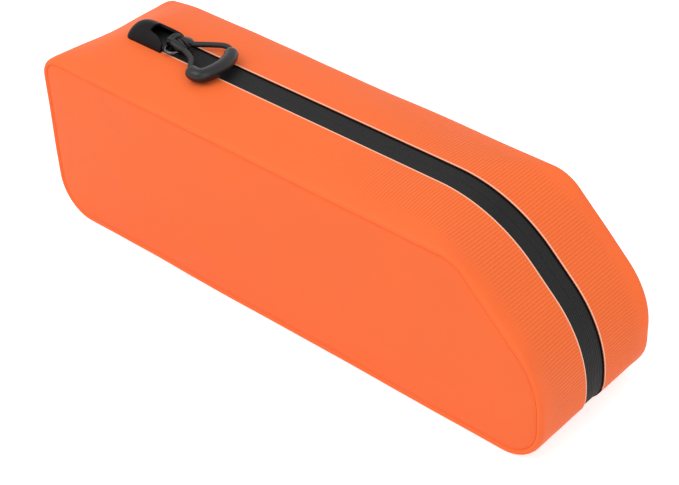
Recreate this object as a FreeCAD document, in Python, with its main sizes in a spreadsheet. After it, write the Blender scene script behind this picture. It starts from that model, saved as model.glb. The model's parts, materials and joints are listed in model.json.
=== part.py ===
import FreeCAD, Part

import math
import os

import Sketcher

# Box-shaped zip pouch of coated fabric with a sloping nose.
# Frame: +X towards the nose, +Z up, origin at the middle of the bottom. Millimetres.

Vector = FreeCAD.Vector
UP = Vector(0, 0, 1)
ACROSS = Vector(0, 1, 0)

SIZES = {
    # Pouch outline seen from the side
    "body_length": 220,
    "body_width": 57,
    "body_height": 66,
    "nose_height": 33.7,
    "top_bend_place": 76.85,
    "back_low_radius": 12,
    "nose_low_radius": 14.7,
    "low_bend_radius": 29.5,
    "top_bend_radius": 15,
    "back_top_radius": 8,
    # Swell of the top along the middle line
    "crown_height": 3.9,
    "crown_back_rise": 0.6,
    "crown_start": 18,
    "crown_blend": 6,
    "middle_low_radius": 13,
    "base_trim": 0.05,
    # Fabric, boards and lining
    "skin_thickness": 0.8,
    "seam_lap": 0.4,
    "foam_thickness": 3,
    "foam_edge_gap": 0.9,
    "base_foam_margin": 3,
    "back_foam_margin": 4,
    "lining_thickness": 0.4,
    "layer_gap": 0.3,
    "seam_tape_width": 8,
    "seam_tape_thickness": 0.3,
    "seam_tape_edge_gap": 0.1,
    "join_height": 40,
    "join_place": 80,
    # Zip
    "zip_opening": 9.7,
    "zip_end_height": 3,
    "zip_back_margin": 17,
    "tape_width": 9,
    "tape_thickness": 1,
    "tape_hem": 2,
    "coil_width": 2.2,
    "coil_depth": 2,
    "zip_slit": 0.1,
    "stop_length": 4,
    "stop_width": 8,
    "lining_slot_width": 13,
    # Hood over the zip's rear end
    "garage_margin": 19,
    "garage_length": 18.5,
    "garage_width": 12.2,
    "garage_height": 6.4,
    "garage_shoulder_height": 4,
    "garage_shoulder_width": 7.8,
    "garage_shoulder_rear_lean": 2.4,
    "garage_top_width": 2.6,
    "garage_top_rear_lean": 7.2,
    "garage_mouth_lean": 4.7,
    "garage_wall": 1,
    "garage_rear_wall": 2,
    "garage_notch_width": 3.4,
    "garage_notch_length": 8.4,
    # Slider
    "slider_length": 14,
    "slider_width": 8.6,
    "slider_nose_width": 5,
    "slider_clearance": 0.2,
    "slider_show": 2,
    "upper_wing_thickness": 1.3,
    "lower_wing_thickness": 1.4,
    "bridge_width": 1.6,
    "bridge_length": 5,
    "bridge_setback": 3,
    "lug_length": 2.8,
    "lug_width": 4.6,
    "lug_height": 2.4,
    "lug_slant": 0.6,
    # Wire bail
    "wire_diameter": 1.3,
    "bail_width": 7.8,
    "bail_front_width": 6.6,
    "bail_reach": 5.3,
    "bail_lift": 1,
    "bail_corner_radius": 0.75,
    "pin_clearance": 0.06,
    # Cord, knot and grip
    "cord_diameter": 2,
    "wrap_diameter": 1.6,
    "wrap_pitch": 1.25,
    "wrap_groove": 0.42,
    "wrap_offset": -0.65,
    "hitch_rise": 2.25,
    "hitch_setback": 1.55,
    "hitch_radius": 1.2,
    "hitch_tilt": 35,
    "grip_diameter": 5,
    "grip_bore_clearance": 0.1,
    "grip_height": 2.9,
    "leg_drop": 0.45,
    "pull_length": 21,
    "pull_width": 21.4,
}

# Reach of the middle line's two bends, as shares of the nose's height and the slope's length
MIDDLE_LOW_BEND_SHARE = 0.55
MIDDLE_TOP_BEND_SHARE = 0.457

# The cord's route from the knot round the grip and back, chosen by hand: shares of the pull's
# length in front of the bail's front bar, and of its width to the left of the middle
CORD_ROUTE = [
    (0.114, 0.126),
    (0.333, 0.290),
    (0.643, 0.430),
    (0.881, 0.243),
    (0.995, -0.037),
    (1.000, -0.299),
    (0.943, -0.570),
    (0.695, -0.561),
    (0.543, -0.416),
    (0.381, -0.178),
    (0.129, -0.103),
]
# The route's points that lie on the legs, lower than the grip
LEG_POINTS = (0, 1, 9, 10)
# The grip runs from the leg after the first of these points to the bend at the second
GRIP_START = 2
GRIP_END = 7
# Turns of cord round the bail's front bar
WRAPS = 3
# Share of the shorter run that each arc of the cord takes up at a corner
ARC_SHARE = 0.45
# Fillets smaller than this are left out, and turns smaller than this count as straight
SMALLEST_FILLET = 0.2
SMALLEST_TURN = 1e-5
# Cutting shapes reach this far past what they cut
FAR = 200
OVERHANG = 1.0

doc = FreeCAD.newDocument("ZipPouch")
sheet = doc.addObject("Spreadsheet::Sheet", "Sizes")
for row, (alias, size) in enumerate(SIZES.items(), start=1):
    sheet.set("A%d" % row, alias)
    sheet.set("B%d" % row, str(size))
    sheet.setAlias("B%d" % row, alias)
doc.recompute()


def number(formula):
    """Value of a formula in the sheet's sizes."""
    return float(sheet.evalExpression(formula))


# Formulas that several pieces share
HALF_LENGTH = "Sizes.body_length / 2"
GUSSET_HALF = "(Sizes.body_width / 2 - Sizes.skin_thickness)"
SLOPE_RUN = "(Sizes.body_length / 2 - Sizes.top_bend_place)"
SLOPE_RISE = "(Sizes.body_height - Sizes.nose_height)"
SLOPE_LENGTH = "sqrt(%s ^ 2 + %s ^ 2)" % (SLOPE_RUN, SLOPE_RISE)
LOW_TURN = "((%s - %s) / %s)" % (SLOPE_LENGTH, SLOPE_RISE, SLOPE_RUN)
TOP_TURN = "((%s - %s) / %s)" % (SLOPE_LENGTH, SLOPE_RUN, SLOPE_RISE)
CROWN_TOP = "(Sizes.body_height + Sizes.crown_height)"
TAPE_TOP = "(%s - Sizes.skin_thickness)" % CROWN_TOP
COIL_BOTTOM = "(%s - Sizes.tape_thickness - Sizes.coil_depth)" % TAPE_TOP
WING_BOTTOM = "(%s + Sizes.slider_clearance)" % TAPE_TOP
WING_TOP = "(%s + Sizes.upper_wing_thickness)" % WING_BOTTOM
LOWER_WING_TOP = "(%s - Sizes.slider_clearance)" % COIL_BOTTOM
LOWER_WING_BOTTOM = "(%s - Sizes.lower_wing_thickness)" % LOWER_WING_TOP
GARAGE_REAR = "(Sizes.garage_margin - %s)" % HALF_LENGTH
GARAGE_MOUTH = "(%s + Sizes.garage_length)" % GARAGE_REAR
GARAGE_TOP = "(%s + Sizes.garage_height)" % CROWN_TOP
SLIDER_FRONT = "(%s + Sizes.slider_show)" % GARAGE_MOUTH
SLIDER_REAR = "(%s - Sizes.slider_length)" % SLIDER_FRONT
BRIDGE_REAR = "(%s + Sizes.bridge_setback)" % SLIDER_REAR
BRIDGE_FRONT = "(%s + Sizes.bridge_length)" % BRIDGE_REAR
BAIL_AXIS_PLACE = "(%s - Sizes.lug_length / 2)" % SLIDER_FRONT
BAIL_AXIS_HEIGHT = "(%s + Sizes.bail_lift)" % WING_TOP
BAR_PLACE = "(%s + Sizes.bail_reach)" % BAIL_AXIS_PLACE
MIDDLE_LOW_BEND_RADIUS = "(%s * Sizes.nose_height / %s)" % (MIDDLE_LOW_BEND_SHARE, LOW_TURN)
MIDDLE_TOP_BEND_RADIUS = "(%s * %s / %s)" % (MIDDLE_TOP_BEND_SHARE, SLOPE_LENGTH, TOP_TURN)


def origin_plane(body, role):
    for feature in body.Origin.OriginFeatures:
        if feature.Role == role:
            return feature


def new_body(label):
    body = doc.addObject("PartDesign::Body", label)
    body.Label = label
    return body


def sketch_on(body, role, name, offset):
    """Sketch on an origin plane of its own body, moved along the plane's normal."""
    sketch = body.newObject("Sketcher::SketchObject", name)
    sketch.AttachmentSupport = [(origin_plane(body, role), "")]
    sketch.MapMode = "FlatFace"
    sketch.setExpression("AttachmentOffset.Base.z", offset)
    return sketch


def polygon(sketch, corners):
    """Closed polygon whose corners are pairs of formulas."""
    places = [Vector(number(across), number(up), 0) for across, up in corners]
    first = sketch.GeometryCount
    count = len(corners)
    for index in range(count):
        line = Part.LineSegment(places[index], places[(index + 1) % count])
        sketch.addGeometry(line)
    for index in range(count):
        here = first + index
        there = first + (index + 1) % count
        sketch.addConstraint(Sketcher.Constraint("Coincident", here, 2, there, 1))
    for index, (across, up) in enumerate(corners):
        here = first + index
        place = places[index]
        rule = Sketcher.Constraint("DistanceX", -1, 1, here, 1, place.x)
        sketch.setExpression("Constraints[%d]" % sketch.addConstraint(rule), across)
        rule = Sketcher.Constraint("DistanceY", -1, 1, here, 1, place.y)
        sketch.setExpression("Constraints[%d]" % sketch.addConstraint(rule), up)


def circle(sketch, across, up, radius):
    """Circle whose centre and radius are formulas."""
    centre = Vector(number(across), number(up), 0)
    ring = Part.Circle(centre, Vector(0, 0, 1), number(radius))
    here = sketch.addGeometry(ring)
    rule = Sketcher.Constraint("DistanceX", -1, 1, here, 3, centre.x)
    sketch.setExpression("Constraints[%d]" % sketch.addConstraint(rule), across)
    rule = Sketcher.Constraint("DistanceY", -1, 1, here, 3, centre.y)
    sketch.setExpression("Constraints[%d]" % sketch.addConstraint(rule), up)
    rule = Sketcher.Constraint("Radius", here, number(radius))
    sketch.setExpression("Constraints[%d]" % sketch.addConstraint(rule), radius)


def pad(body, sketch, length, both_ways=False):
    feature = body.newObject("PartDesign::Pad", sketch.Name + "Pad")
    feature.Profile = sketch
    feature.setExpression("Length", length)
    if both_ways:
        feature.SideType = "Symmetric"
    doc.recompute()
    return feature


def pocket(body, sketch, length, both_ways=False, backwards=False):
    """Pocket that must take something away from the body."""
    before = body.Shape.Volume
    feature = body.newObject("PartDesign::Pocket", sketch.Name + "Pocket")
    feature.Profile = sketch
    feature.setExpression("Length", length)
    feature.Reversed = backwards
    if both_ways:
        feature.SideType = "Symmetric"
    doc.recompute()
    if feature.Shape.Volume >= before - 1e-6:
        raise ValueError("%s cuts nothing" % feature.Name)
    return feature


def fillet(body, base, edges, radius, name):
    feature = body.newObject("PartDesign::Fillet", name)
    feature.Base = (base, edges)
    feature.setExpression("Radius", radius)
    doc.recompute()
    return feature


def edges_along(shape, direction, across_test):
    """Names of the straight edges along a direction whose middle passes a test."""
    names = []
    for index, edge in enumerate(shape.Edges, start=1):
        if edge.Curve.TypeId != "Part::GeomLine":
            continue
        if abs(edge.Curve.Direction.dot(direction)) < 0.999:
            continue
        ends = [vertex.Point for vertex in edge.Vertexes]
        middle = (ends[0] + ends[1]) * 0.5
        if across_test(middle):
            names.append("Edge%d" % index)
    return names


# Flat pieces that follow the side outline

def outline_corners(inset):
    """Side outline set in by a formula: corner across, corner up, corner radius."""
    return [
        ("-%s + %s" % (HALF_LENGTH, inset), "%s" % inset, "Sizes.back_low_radius - %s" % inset),
        ("%s - %s" % (HALF_LENGTH, inset), "%s" % inset, "Sizes.nose_low_radius - %s" % inset),
        (
            "%s - %s" % (HALF_LENGTH, inset),
            "Sizes.nose_height - %s * %s" % (inset, LOW_TURN),
            "Sizes.low_bend_radius - %s" % inset,
        ),
        (
            "Sizes.top_bend_place - %s * %s" % (inset, TOP_TURN),
            "Sizes.body_height - %s" % inset,
            "Sizes.top_bend_radius - %s" % inset,
        ),
        (
            "-%s + %s" % (HALF_LENGTH, inset),
            "Sizes.body_height - %s" % inset,
            "Sizes.back_top_radius - %s" % inset,
        ),
    ]


def round_outline(body, base, corners, name):
    """Fillets on the edges that run across the pouch, one for each outline corner."""
    tip = base
    for index, (across, up, radius) in enumerate(corners):
        if number(radius) < SMALLEST_FILLET:
            continue
        place = Vector(number(across), 0, number(up))

        def at_corner(middle):
            return math.hypot(middle.x - place.x, middle.z - place.z) < 0.01

        edges = edges_along(tip.Shape, ACROSS, at_corner)
        tip = fillet(body, tip, edges, radius, "%sCorner%d" % (name, index))
    return tip


def side_plate(label, outer_face, thickness, inset, hole_inset=None):
    """Plate parallel to the sides; its face lies outer_face from the middle plane."""
    side = 1 if label.startswith("left") else -1
    # The side plane's normal points to -Y, and a pad grows along it
    near = "-(%s)" % outer_face if side > 0 else "(%s) - (%s)" % (outer_face, thickness)
    body = new_body(label)
    sketch = sketch_on(body, "XZ_Plane", label + "_outline", near)
    corners = outline_corners(inset)
    polygon(sketch, [corner[:2] for corner in corners])
    plate = pad(body, sketch, thickness)
    plate = round_outline(body, plate, corners, label + "_outer")
    if hole_inset:
        hole = sketch_on(body, "XZ_Plane", label + "_hole", near)
        hole_corners = outline_corners(hole_inset)
        polygon(hole, [corner[:2] for corner in hole_corners])
        ring = pocket(body, hole, thickness, backwards=True)
        round_outline(body, ring, hole_corners, label + "_inner")
    return body


def side_panels():
    for side in ("left", "right"):
        side_plate(side + "_side_panel", "Sizes.body_width / 2", "Sizes.skin_thickness", "Sizes.seam_lap")


def seam_tapes():
    outer = "(Sizes.skin_thickness + Sizes.seam_tape_edge_gap)"
    inner = "(%s + Sizes.seam_tape_width)" % outer
    for side in ("left", "right"):
        side_plate(side + "_seam_tape", GUSSET_HALF, "Sizes.seam_tape_thickness", outer, inner)


SIDE_FOAM_FACE = "(%s - Sizes.seam_tape_thickness)" % GUSSET_HALF
SIDE_FOAM_INNER = "(%s - Sizes.foam_thickness)" % SIDE_FOAM_FACE


def side_foams():
    inset = "(Sizes.skin_thickness + Sizes.foam_edge_gap)"
    for side in ("left", "right"):
        side_plate(side + "_side_foam", SIDE_FOAM_FACE, "Sizes.foam_thickness", inset)


def board(label, low, high):
    """Box-shaped board between two corners given as formulas."""
    body = new_body(label)
    sketch = sketch_on(body, "XY_Plane", label + "_outline", low[2])
    polygon(sketch, [(low[0], low[1]), (high[0], low[1]), (high[0], high[1]), (low[0], high[1])])
    pad(body, sketch, "%s - %s" % (high[2], low[2]))
    return body


def base_and_back_foams():
    skin = "Sizes.skin_thickness"
    back_of_base = "(Sizes.back_low_radius + Sizes.base_foam_margin - %s)" % HALF_LENGTH
    front_of_base = "(%s - Sizes.nose_low_radius - Sizes.base_foam_margin)" % HALF_LENGTH
    board(
        "base_foam",
        (back_of_base, "-" + SIDE_FOAM_INNER, skin),
        (front_of_base, SIDE_FOAM_INNER, "(Sizes.skin_thickness + Sizes.foam_thickness)"),
    )
    board(
        "back_foam",
        (
            "(Sizes.skin_thickness - %s)" % HALF_LENGTH,
            "-" + SIDE_FOAM_INNER,
            "(Sizes.back_low_radius + Sizes.back_foam_margin)",
        ),
        (
            "(Sizes.skin_thickness + Sizes.foam_thickness - %s)" % HALF_LENGTH,
            SIDE_FOAM_INNER,
            "(Sizes.body_height - Sizes.back_top_radius - Sizes.back_foam_margin)",
        ),
    )


# Swelling layers: the outline changes from the sides to the middle line

def crowned_corners(share):
    """Outline corners at a share of the full swell: x, z, radius, reach.

    A corner with a reach is blended over that length on both sides of it.
    """
    half = number(HALF_LENGTH)
    top = number("Sizes.body_height") + share * number("Sizes.crown_height")
    lean = number("%s / %s" % (SLOPE_RUN, SLOPE_RISE))

    base = -number("Sizes.base_trim")

    def mix(at_side, at_middle):
        return (1 - share) * number(at_side) + share * number(at_middle)

    return [
        (-half, base, number("Sizes.back_low_radius"), None),
        (half, base, mix("Sizes.nose_low_radius", "Sizes.middle_low_radius"), None),
        (
            half,
            number("Sizes.nose_height"),
            mix("Sizes.low_bend_radius", MIDDLE_LOW_BEND_RADIUS),
            None,
        ),
        (
            number("Sizes.top_bend_place") - share * number("Sizes.crown_height") * lean,
            top,
            mix("Sizes.top_bend_radius", MIDDLE_TOP_BEND_RADIUS),
            None,
        ),
        (number("Sizes.crown_start") - half, top, None, number("Sizes.crown_blend")),
        (
            -half,
            number("Sizes.body_height") + share * number("Sizes.crown_back_rise"),
            number("Sizes.back_top_radius"),
            None,
        ),
    ]


def unit(start, end):
    step = end - start
    return step * (1 / step.Length)


def inset_outline(corners, inset):
    """Move every side of the outline inwards by the same distance."""
    places = [Vector(x, 0, z) for x, z, radius, reach in corners]
    count = len(corners)
    moved = []
    for index, (x, z, radius, reach) in enumerate(corners):
        into = unit(places[index - 1], places[index])
        out = unit(places[index], places[(index + 1) % count])
        inward_into = Vector(-into.z, 0, into.x)
        inward_out = Vector(-out.z, 0, out.x)
        shift = (inward_into + inward_out) * (inset / (1 + inward_into.dot(inward_out)))
        place = places[index] + shift
        moved.append((place.x, place.z, radius - inset if radius else None, reach))
    return moved


def rounded_wire(corners, y):
    """Closed wire of straight sides and tangent arcs in the plane at y."""
    places = [Vector(x, y, z) for x, z, radius, reach in corners]
    count = len(corners)
    starts, middles, ends = [], [], []
    for index, (x, z, radius, reach) in enumerate(corners):
        into = unit(places[index - 1], places[index])
        out = unit(places[index], places[(index + 1) % count])
        turn = into.getAngle(out)
        if reach is None:
            reach = radius * math.tan(turn / 2)
        start = places[index] - into * reach
        end = places[index] + out * reach
        # The arc's middle lies this far from the corner on the line to its centre
        sink = reach * math.tan(turn / 4)
        towards = out - into
        if towards.Length < SMALLEST_TURN:
            middle = places[index]
        else:
            middle = places[index] + towards * (sink / towards.Length)
        starts.append(start)
        middles.append(middle)
        ends.append(end)
    edges = []
    for index in range(count):
        edges.append(Part.LineSegment(ends[index - 1], starts[index]).toShape())
        straight = abs((middles[index] - starts[index]).getAngle(ends[index] - starts[index])) < SMALLEST_TURN
        if straight:
            edges.append(Part.LineSegment(starts[index], ends[index]).toShape())
        else:
            edges.append(Part.Arc(starts[index], middles[index], ends[index]).toShape())
    return Part.Wire(edges)


def crowned_block(inset, half_width):
    """Solid of the pouch's swelling outline, set in by a distance."""
    gusset_half = number(GUSSET_HALF)
    wires = []
    for y in (-half_width, 0, half_width):
        share = 1 - (y / gusset_half) ** 2
        wires.append(rounded_wire(inset_outline(crowned_corners(share), inset), y))
    return Part.makeLoft(wires, True, False)


def box(low, high):
    size = [high[axis] - low[axis] for axis in range(3)]
    return Part.makeBox(size[0], size[1], size[2], Vector(*low))


def add_shape(label, shape):
    feature = doc.addObject("Part::Feature", label)
    feature.Label = label
    solids = shape.Solids
    feature.Shape = solids[0] if len(solids) == 1 else Part.makeCompound(solids)
    feature.Placement = FreeCAD.Placement()
    return feature



def gussets_and_zip():
    """The two fabric strips, and the zip tapes, coils and stops under the top one."""
    half_width = number(GUSSET_HALF)
    skin = number("Sizes.skin_thickness")
    tape_bottom = skin + number("Sizes.tape_thickness")
    coil_bottom = tape_bottom + number("Sizes.coil_depth")
    # The block reaches a little below the base and is cut level there
    below = box((-FAR, -FAR, -FAR), (FAR, FAR, 0))
    outside = crowned_block(0, half_width).cut(below)
    under_skin = crowned_block(skin, half_width + OVERHANG)
    under_tape = crowned_block(tape_bottom, half_width + 2 * OVERHANG)
    under_coil = crowned_block(coil_bottom, half_width + 3 * OVERHANG)

    # Fabric strips, joined in the bottom and in the back
    ring = outside.cut(under_skin)
    nose_part = box((number("Sizes.join_place"), -FAR, -FAR), (FAR, FAR, FAR))
    top_part = box((-FAR, -FAR, number("Sizes.join_height")), (FAR, FAR, FAR))
    upper = nose_part.fuse(top_part)
    slot_half = number("Sizes.zip_opening") / 2
    zip_low = number("Sizes.zip_end_height")
    zip_rear = number("Sizes.zip_back_margin - %s" % HALF_LENGTH)
    slot_rear = number("%s + 2 * Sizes.garage_wall" % GARAGE_REAR)
    slot = box((slot_rear, -slot_half, zip_low), (FAR, slot_half, FAR))
    add_shape("zip_gusset", ring.common(upper).cut(slot))
    add_shape("base_gusset", ring.cut(upper))

    # Tapes and coils part round the slider's bridge where it is parked
    slit = number("Sizes.zip_slit") / 2
    parting_half = number("Sizes.bridge_width / 2 + Sizes.slider_clearance")
    parting = box(
        (number("%s - Sizes.slider_clearance" % BRIDGE_REAR), -parting_half, -FAR),
        (number("%s + Sizes.bridge_length / 2" % BRIDGE_FRONT), parting_half, FAR),
    )
    tape_layer = under_skin.cut(under_tape)
    coil_layer = under_tape.cut(under_coil)
    hem = number("Sizes.tape_hem")
    stop_length = number("Sizes.stop_length")
    # The zip lies over the top and down the nose as far as the middle of its lowest bend
    nose_place = number("%s - Sizes.middle_low_radius / 2" % HALF_LENGTH)
    halfway = number("Sizes.body_height / 2")
    for side, sign in (("left", 1), ("right", -1)):
        strips = (
            ("_zip_tape", tape_layer, "tape_width", zip_low - hem, zip_rear - hem),
            ("_zip_coil", coil_layer, "coil_width", zip_low + stop_length, zip_rear + stop_length),
        )
        for ending, layer, width_name, low, rear in strips:
            edges = sorted((sign * slit, sign * number("Sizes." + width_name)))
            over_top = box((rear, edges[0], halfway), (FAR, edges[1], FAR))
            down_nose = box((nose_place, edges[0], low), (FAR, edges[1], halfway))
            strip = layer.common(over_top.fuse(down_nose).removeSplitter())
            add_shape(side + ending, strip.cut(parting))

    # End stops close the row of coils
    half_stop = number("Sizes.stop_width") / 2
    nose_stop = box((nose_place, -half_stop, zip_low), (FAR, half_stop, zip_low + stop_length))
    add_shape("nose_end_stop", coil_layer.common(nose_stop))
    rear_stop = box((zip_rear, -half_stop, zip_low + stop_length), (zip_rear + stop_length, half_stop, FAR))
    add_shape("rear_end_stop", coil_layer.common(rear_stop))


def lining():
    """Closed inner bag over the boards, open along the zip."""
    gap = number("Sizes.layer_gap")
    inset = number("Sizes.skin_thickness + Sizes.foam_thickness") + gap
    wall = number("Sizes.lining_thickness")
    half_width = number(SIDE_FOAM_INNER) - gap
    bag = crowned_block(inset, half_width).cut(crowned_block(inset + wall, half_width - wall))
    half_slot = number("Sizes.lining_slot_width") / 2
    slot = box(
        (
            number("Sizes.zip_back_margin - %s" % HALF_LENGTH),
            -half_slot,
            number("Sizes.zip_end_height") + inset + wall,
        ),
        (FAR, half_slot, FAR),
    )
    add_shape("lining", bag.cut(slot))


# Hood over the parked slider

def hood_outline(body, name, height, rear, mouth, half_width):
    """Level outline of the hood at one height: straight sides and a half-round rear."""
    sketch = sketch_on(body, "XY_Plane", name, height)
    turn = "(%s + %s)" % (rear, half_width)
    centre = Vector(number(turn), 0, 0)
    radius = number(half_width)
    front = number(mouth)
    corners = [
        Vector(centre.x, -radius, 0),
        Vector(front, -radius, 0),
        Vector(front, radius, 0),
        Vector(centre.x, radius, 0),
    ]
    for start, end in zip(corners, corners[1:]):
        sketch.addGeometry(Part.LineSegment(start, end))
    circle_of_rear = Part.Circle(centre, Vector(0, 0, 1), radius)
    rear_arc = sketch.addGeometry(Part.ArcOfCircle(circle_of_rear, math.pi / 2, 3 * math.pi / 2))
    sketch.addConstraint(Sketcher.Constraint("Coincident", 0, 2, 1, 1))
    sketch.addConstraint(Sketcher.Constraint("Coincident", 1, 2, 2, 1))
    sketch.addConstraint(Sketcher.Constraint("Coincident", 2, 2, rear_arc, 1))
    sketch.addConstraint(Sketcher.Constraint("Coincident", rear_arc, 2, 0, 1))
    rules = [
        ("DistanceX", 0, 1, turn),
        ("DistanceY", 0, 1, "-" + half_width),
        ("DistanceX", 1, 1, mouth),
        ("DistanceY", 1, 1, "-" + half_width),
        ("DistanceX", 2, 1, mouth),
        ("DistanceY", 2, 1, half_width),
        ("DistanceX", rear_arc, 1, turn),
        ("DistanceY", rear_arc, 1, half_width),
        ("DistanceX", rear_arc, 3, turn),
    ]
    for kind, line, point, formula in rules:
        rule = Sketcher.Constraint(kind, -1, 1, line, point, number(formula))
        sketch.setExpression("Constraints[%d]" % sketch.addConstraint(rule), formula)
    return sketch


def hood_levels():
    """Base, shoulder and roof of the hood: height, rear lean, mouth lean and half width."""
    shoulder_share = "Sizes.garage_shoulder_height / Sizes.garage_height"
    return [
        ("base", "0", "0", "0", "Sizes.garage_width / 2"),
        (
            "shoulder",
            "Sizes.garage_shoulder_height",
            "Sizes.garage_shoulder_rear_lean",
            "Sizes.garage_mouth_lean * %s" % shoulder_share,
            "Sizes.garage_shoulder_width / 2",
        ),
        (
            "roof",
            "Sizes.garage_height",
            "Sizes.garage_top_rear_lean",
            "Sizes.garage_mouth_lean",
            "Sizes.garage_top_width / 2",
        ),
    ]


def zip_garage():
    """Domed hood that narrows upwards, open in front and notched in the roof."""
    body = new_body("zip_garage")
    block = body.newObject("PartDesign::AdditiveLoft", "hood_block")
    sections = []
    for level, height, rear_lean, mouth_lean, half_width in hood_levels():
        sections.append(hood_outline(
            body,
            "hood_" + level,
            "(%s + %s)" % (CROWN_TOP, height),
            "(%s + %s)" % (GARAGE_REAR, rear_lean),
            "(%s - %s)" % (GARAGE_MOUTH, mouth_lean),
            "(%s)" % half_width,
        ))
    block.Profile = sections[0]
    block.Sections = sections[1:]
    doc.recompute()

    # The cavity keeps the wall on both sides and behind, and runs out of the mouth
    past_mouth = "(%s + Sizes.garage_wall)" % GARAGE_MOUTH
    shrink = "(1 - 2 * Sizes.garage_wall / Sizes.garage_width)"
    lower = "(1 - Sizes.garage_wall / Sizes.garage_height)"
    sections = []
    for level, height, rear_lean, mouth_lean, half_width in hood_levels():
        sections.append(hood_outline(
            body,
            "cavity_" + level,
            "(%s + %s * %s)" % (CROWN_TOP, height, lower),
            "(%s + %s + Sizes.garage_rear_wall)" % (GARAGE_REAR, rear_lean),
            past_mouth,
            "(%s * %s)" % (half_width, shrink),
        ))
    before = body.Shape.Volume
    cavity = body.newObject("PartDesign::SubtractiveLoft", "hood_cavity")
    cavity.Profile = sections[0]
    cavity.Sections = sections[1:]
    doc.recompute()
    if cavity.Shape.isNull() or cavity.Shape.Volume >= before:
        raise ValueError("the hood's cavity cuts nothing")

    notch = sketch_on(body, "XY_Plane", "hood_notch", CROWN_TOP)
    notch_rear = "(%s - Sizes.garage_notch_length)" % GARAGE_MOUTH
    notch_half = "Sizes.garage_notch_width / 2"
    polygon(notch, [
        (notch_rear, "-" + notch_half),
        (past_mouth, "-" + notch_half),
        (past_mouth, notch_half),
        (notch_rear, notch_half),
    ])
    pocket(body, notch, "Sizes.garage_height + %s" % OVERHANG, backwards=True)
    return body


# Slider with its lug

def zip_slider():
    body = new_body("zip_slider")
    bridge = sketch_on(body, "XY_Plane", "slider_bridge", LOWER_WING_BOTTOM)
    half = "Sizes.bridge_width / 2"
    polygon(bridge, [
        (BRIDGE_REAR, "-" + half),
        (BRIDGE_FRONT, "-" + half),
        (BRIDGE_FRONT, half),
        (BRIDGE_REAR, half),
    ])
    pad(body, bridge, "%s - %s" % (WING_TOP, LOWER_WING_BOTTOM))

    wide = "Sizes.slider_width / 2"
    narrow = "Sizes.slider_nose_width / 2"
    wing_corners = [
        (SLIDER_REAR, "-" + narrow),
        (BRIDGE_REAR, "-" + wide),
        (SLIDER_FRONT, "-" + wide),
        (SLIDER_FRONT, wide),
        (BRIDGE_REAR, wide),
        (SLIDER_REAR, narrow),
    ]
    lower = sketch_on(body, "XY_Plane", "slider_lower_wing", LOWER_WING_BOTTOM)
    polygon(lower, wing_corners)
    pad(body, lower, "Sizes.lower_wing_thickness")
    upper = sketch_on(body, "XY_Plane", "slider_upper_wing", WING_BOTTOM)
    polygon(upper, wing_corners)
    pad(body, upper, "Sizes.upper_wing_thickness")

    lug = sketch_on(body, "XZ_Plane", "slider_lug", "0")
    polygon(lug, [
        ("%s - Sizes.lug_length" % SLIDER_FRONT, WING_TOP),
        (SLIDER_FRONT, WING_TOP),
        ("%s - Sizes.lug_slant" % SLIDER_FRONT, "%s + Sizes.lug_height" % WING_TOP),
        ("%s - Sizes.lug_length + Sizes.lug_slant" % SLIDER_FRONT, "%s + Sizes.lug_height" % WING_TOP),
    ])
    pad(body, lug, "Sizes.lug_width", both_ways=True)
    bore = sketch_on(body, "XZ_Plane", "slider_bore", "0")
    circle(bore, BAIL_AXIS_PLACE, BAIL_AXIS_HEIGHT, "Sizes.wire_diameter / 2 + Sizes.pin_clearance")
    pocket(body, bore, "Sizes.lug_width + %s" % OVERHANG, both_ways=True)
    return body


# Wire bail

def slider_bail():
    """Closed wire loop through the slider's lug, lying flat."""
    axis_x = number(BAIL_AXIS_PLACE)
    height = number(BAIL_AXIS_HEIGHT)
    front_x = number(BAR_PLACE)
    half = number("Sizes.bail_width") / 2
    front_half = number("Sizes.bail_front_width") / 2
    radius = number("Sizes.bail_corner_radius")
    corners = [
        Vector(axis_x, -half, height),
        Vector(front_x, -front_half, height),
        Vector(front_x, front_half, height),
        Vector(axis_x, half, height),
    ]
    seam = Vector(axis_x, 0, height)
    edges = []
    previous = seam
    for index, corner in enumerate(corners):
        into = unit(corners[index - 1], corner)
        out = unit(corner, corners[(index + 1) % len(corners)])
        turn = into.getAngle(out)
        reach = radius * math.tan(turn / 2)
        start = corner - into * reach
        end = corner + out * reach
        middle = corner + unit(into, out) * (reach * math.tan(turn / 4))
        edges.append(Part.LineSegment(previous, start).toShape())
        edges.append(Part.Arc(start, middle, end).toShape())
        previous = end
    edges.append(Part.LineSegment(previous, seam).toShape())
    section = Part.Circle(seam, ACROSS, number("Sizes.wire_diameter") / 2).toShape()
    add_shape("slider_bail", Part.Wire(edges).makePipeShell([Part.Wire([section])], True, False))


# Knot on the bail's front bar

def wraps_round_bar(bar, inner_radius, outer_radius, pitch, offset):
    """Wraps side by side: a profile with one bulge for each, turned about the bar."""
    valley = outer_radius - number("Sizes.wrap_groove")
    start = offset - WRAPS * pitch / 2

    def place(y, radius):
        return Vector(bar.x, y, bar.z + radius)

    edges = []
    for index in range(WRAPS):
        left = place(start + index * pitch, valley)
        crest = place(start + (index + 0.5) * pitch, outer_radius)
        right = place(start + (index + 1) * pitch, valley)
        edges.append(Part.Arc(left, crest, right).toShape())
    end = start + WRAPS * pitch
    edges.append(Part.LineSegment(place(end, valley), place(end, inner_radius)).toShape())
    edges.append(Part.LineSegment(place(end, inner_radius), place(start, inner_radius)).toShape())
    edges.append(Part.LineSegment(place(start, inner_radius), place(start, valley)).toShape())
    return Part.Face(Part.Wire(edges)).revolve(bar, ACROSS, 360)


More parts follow.
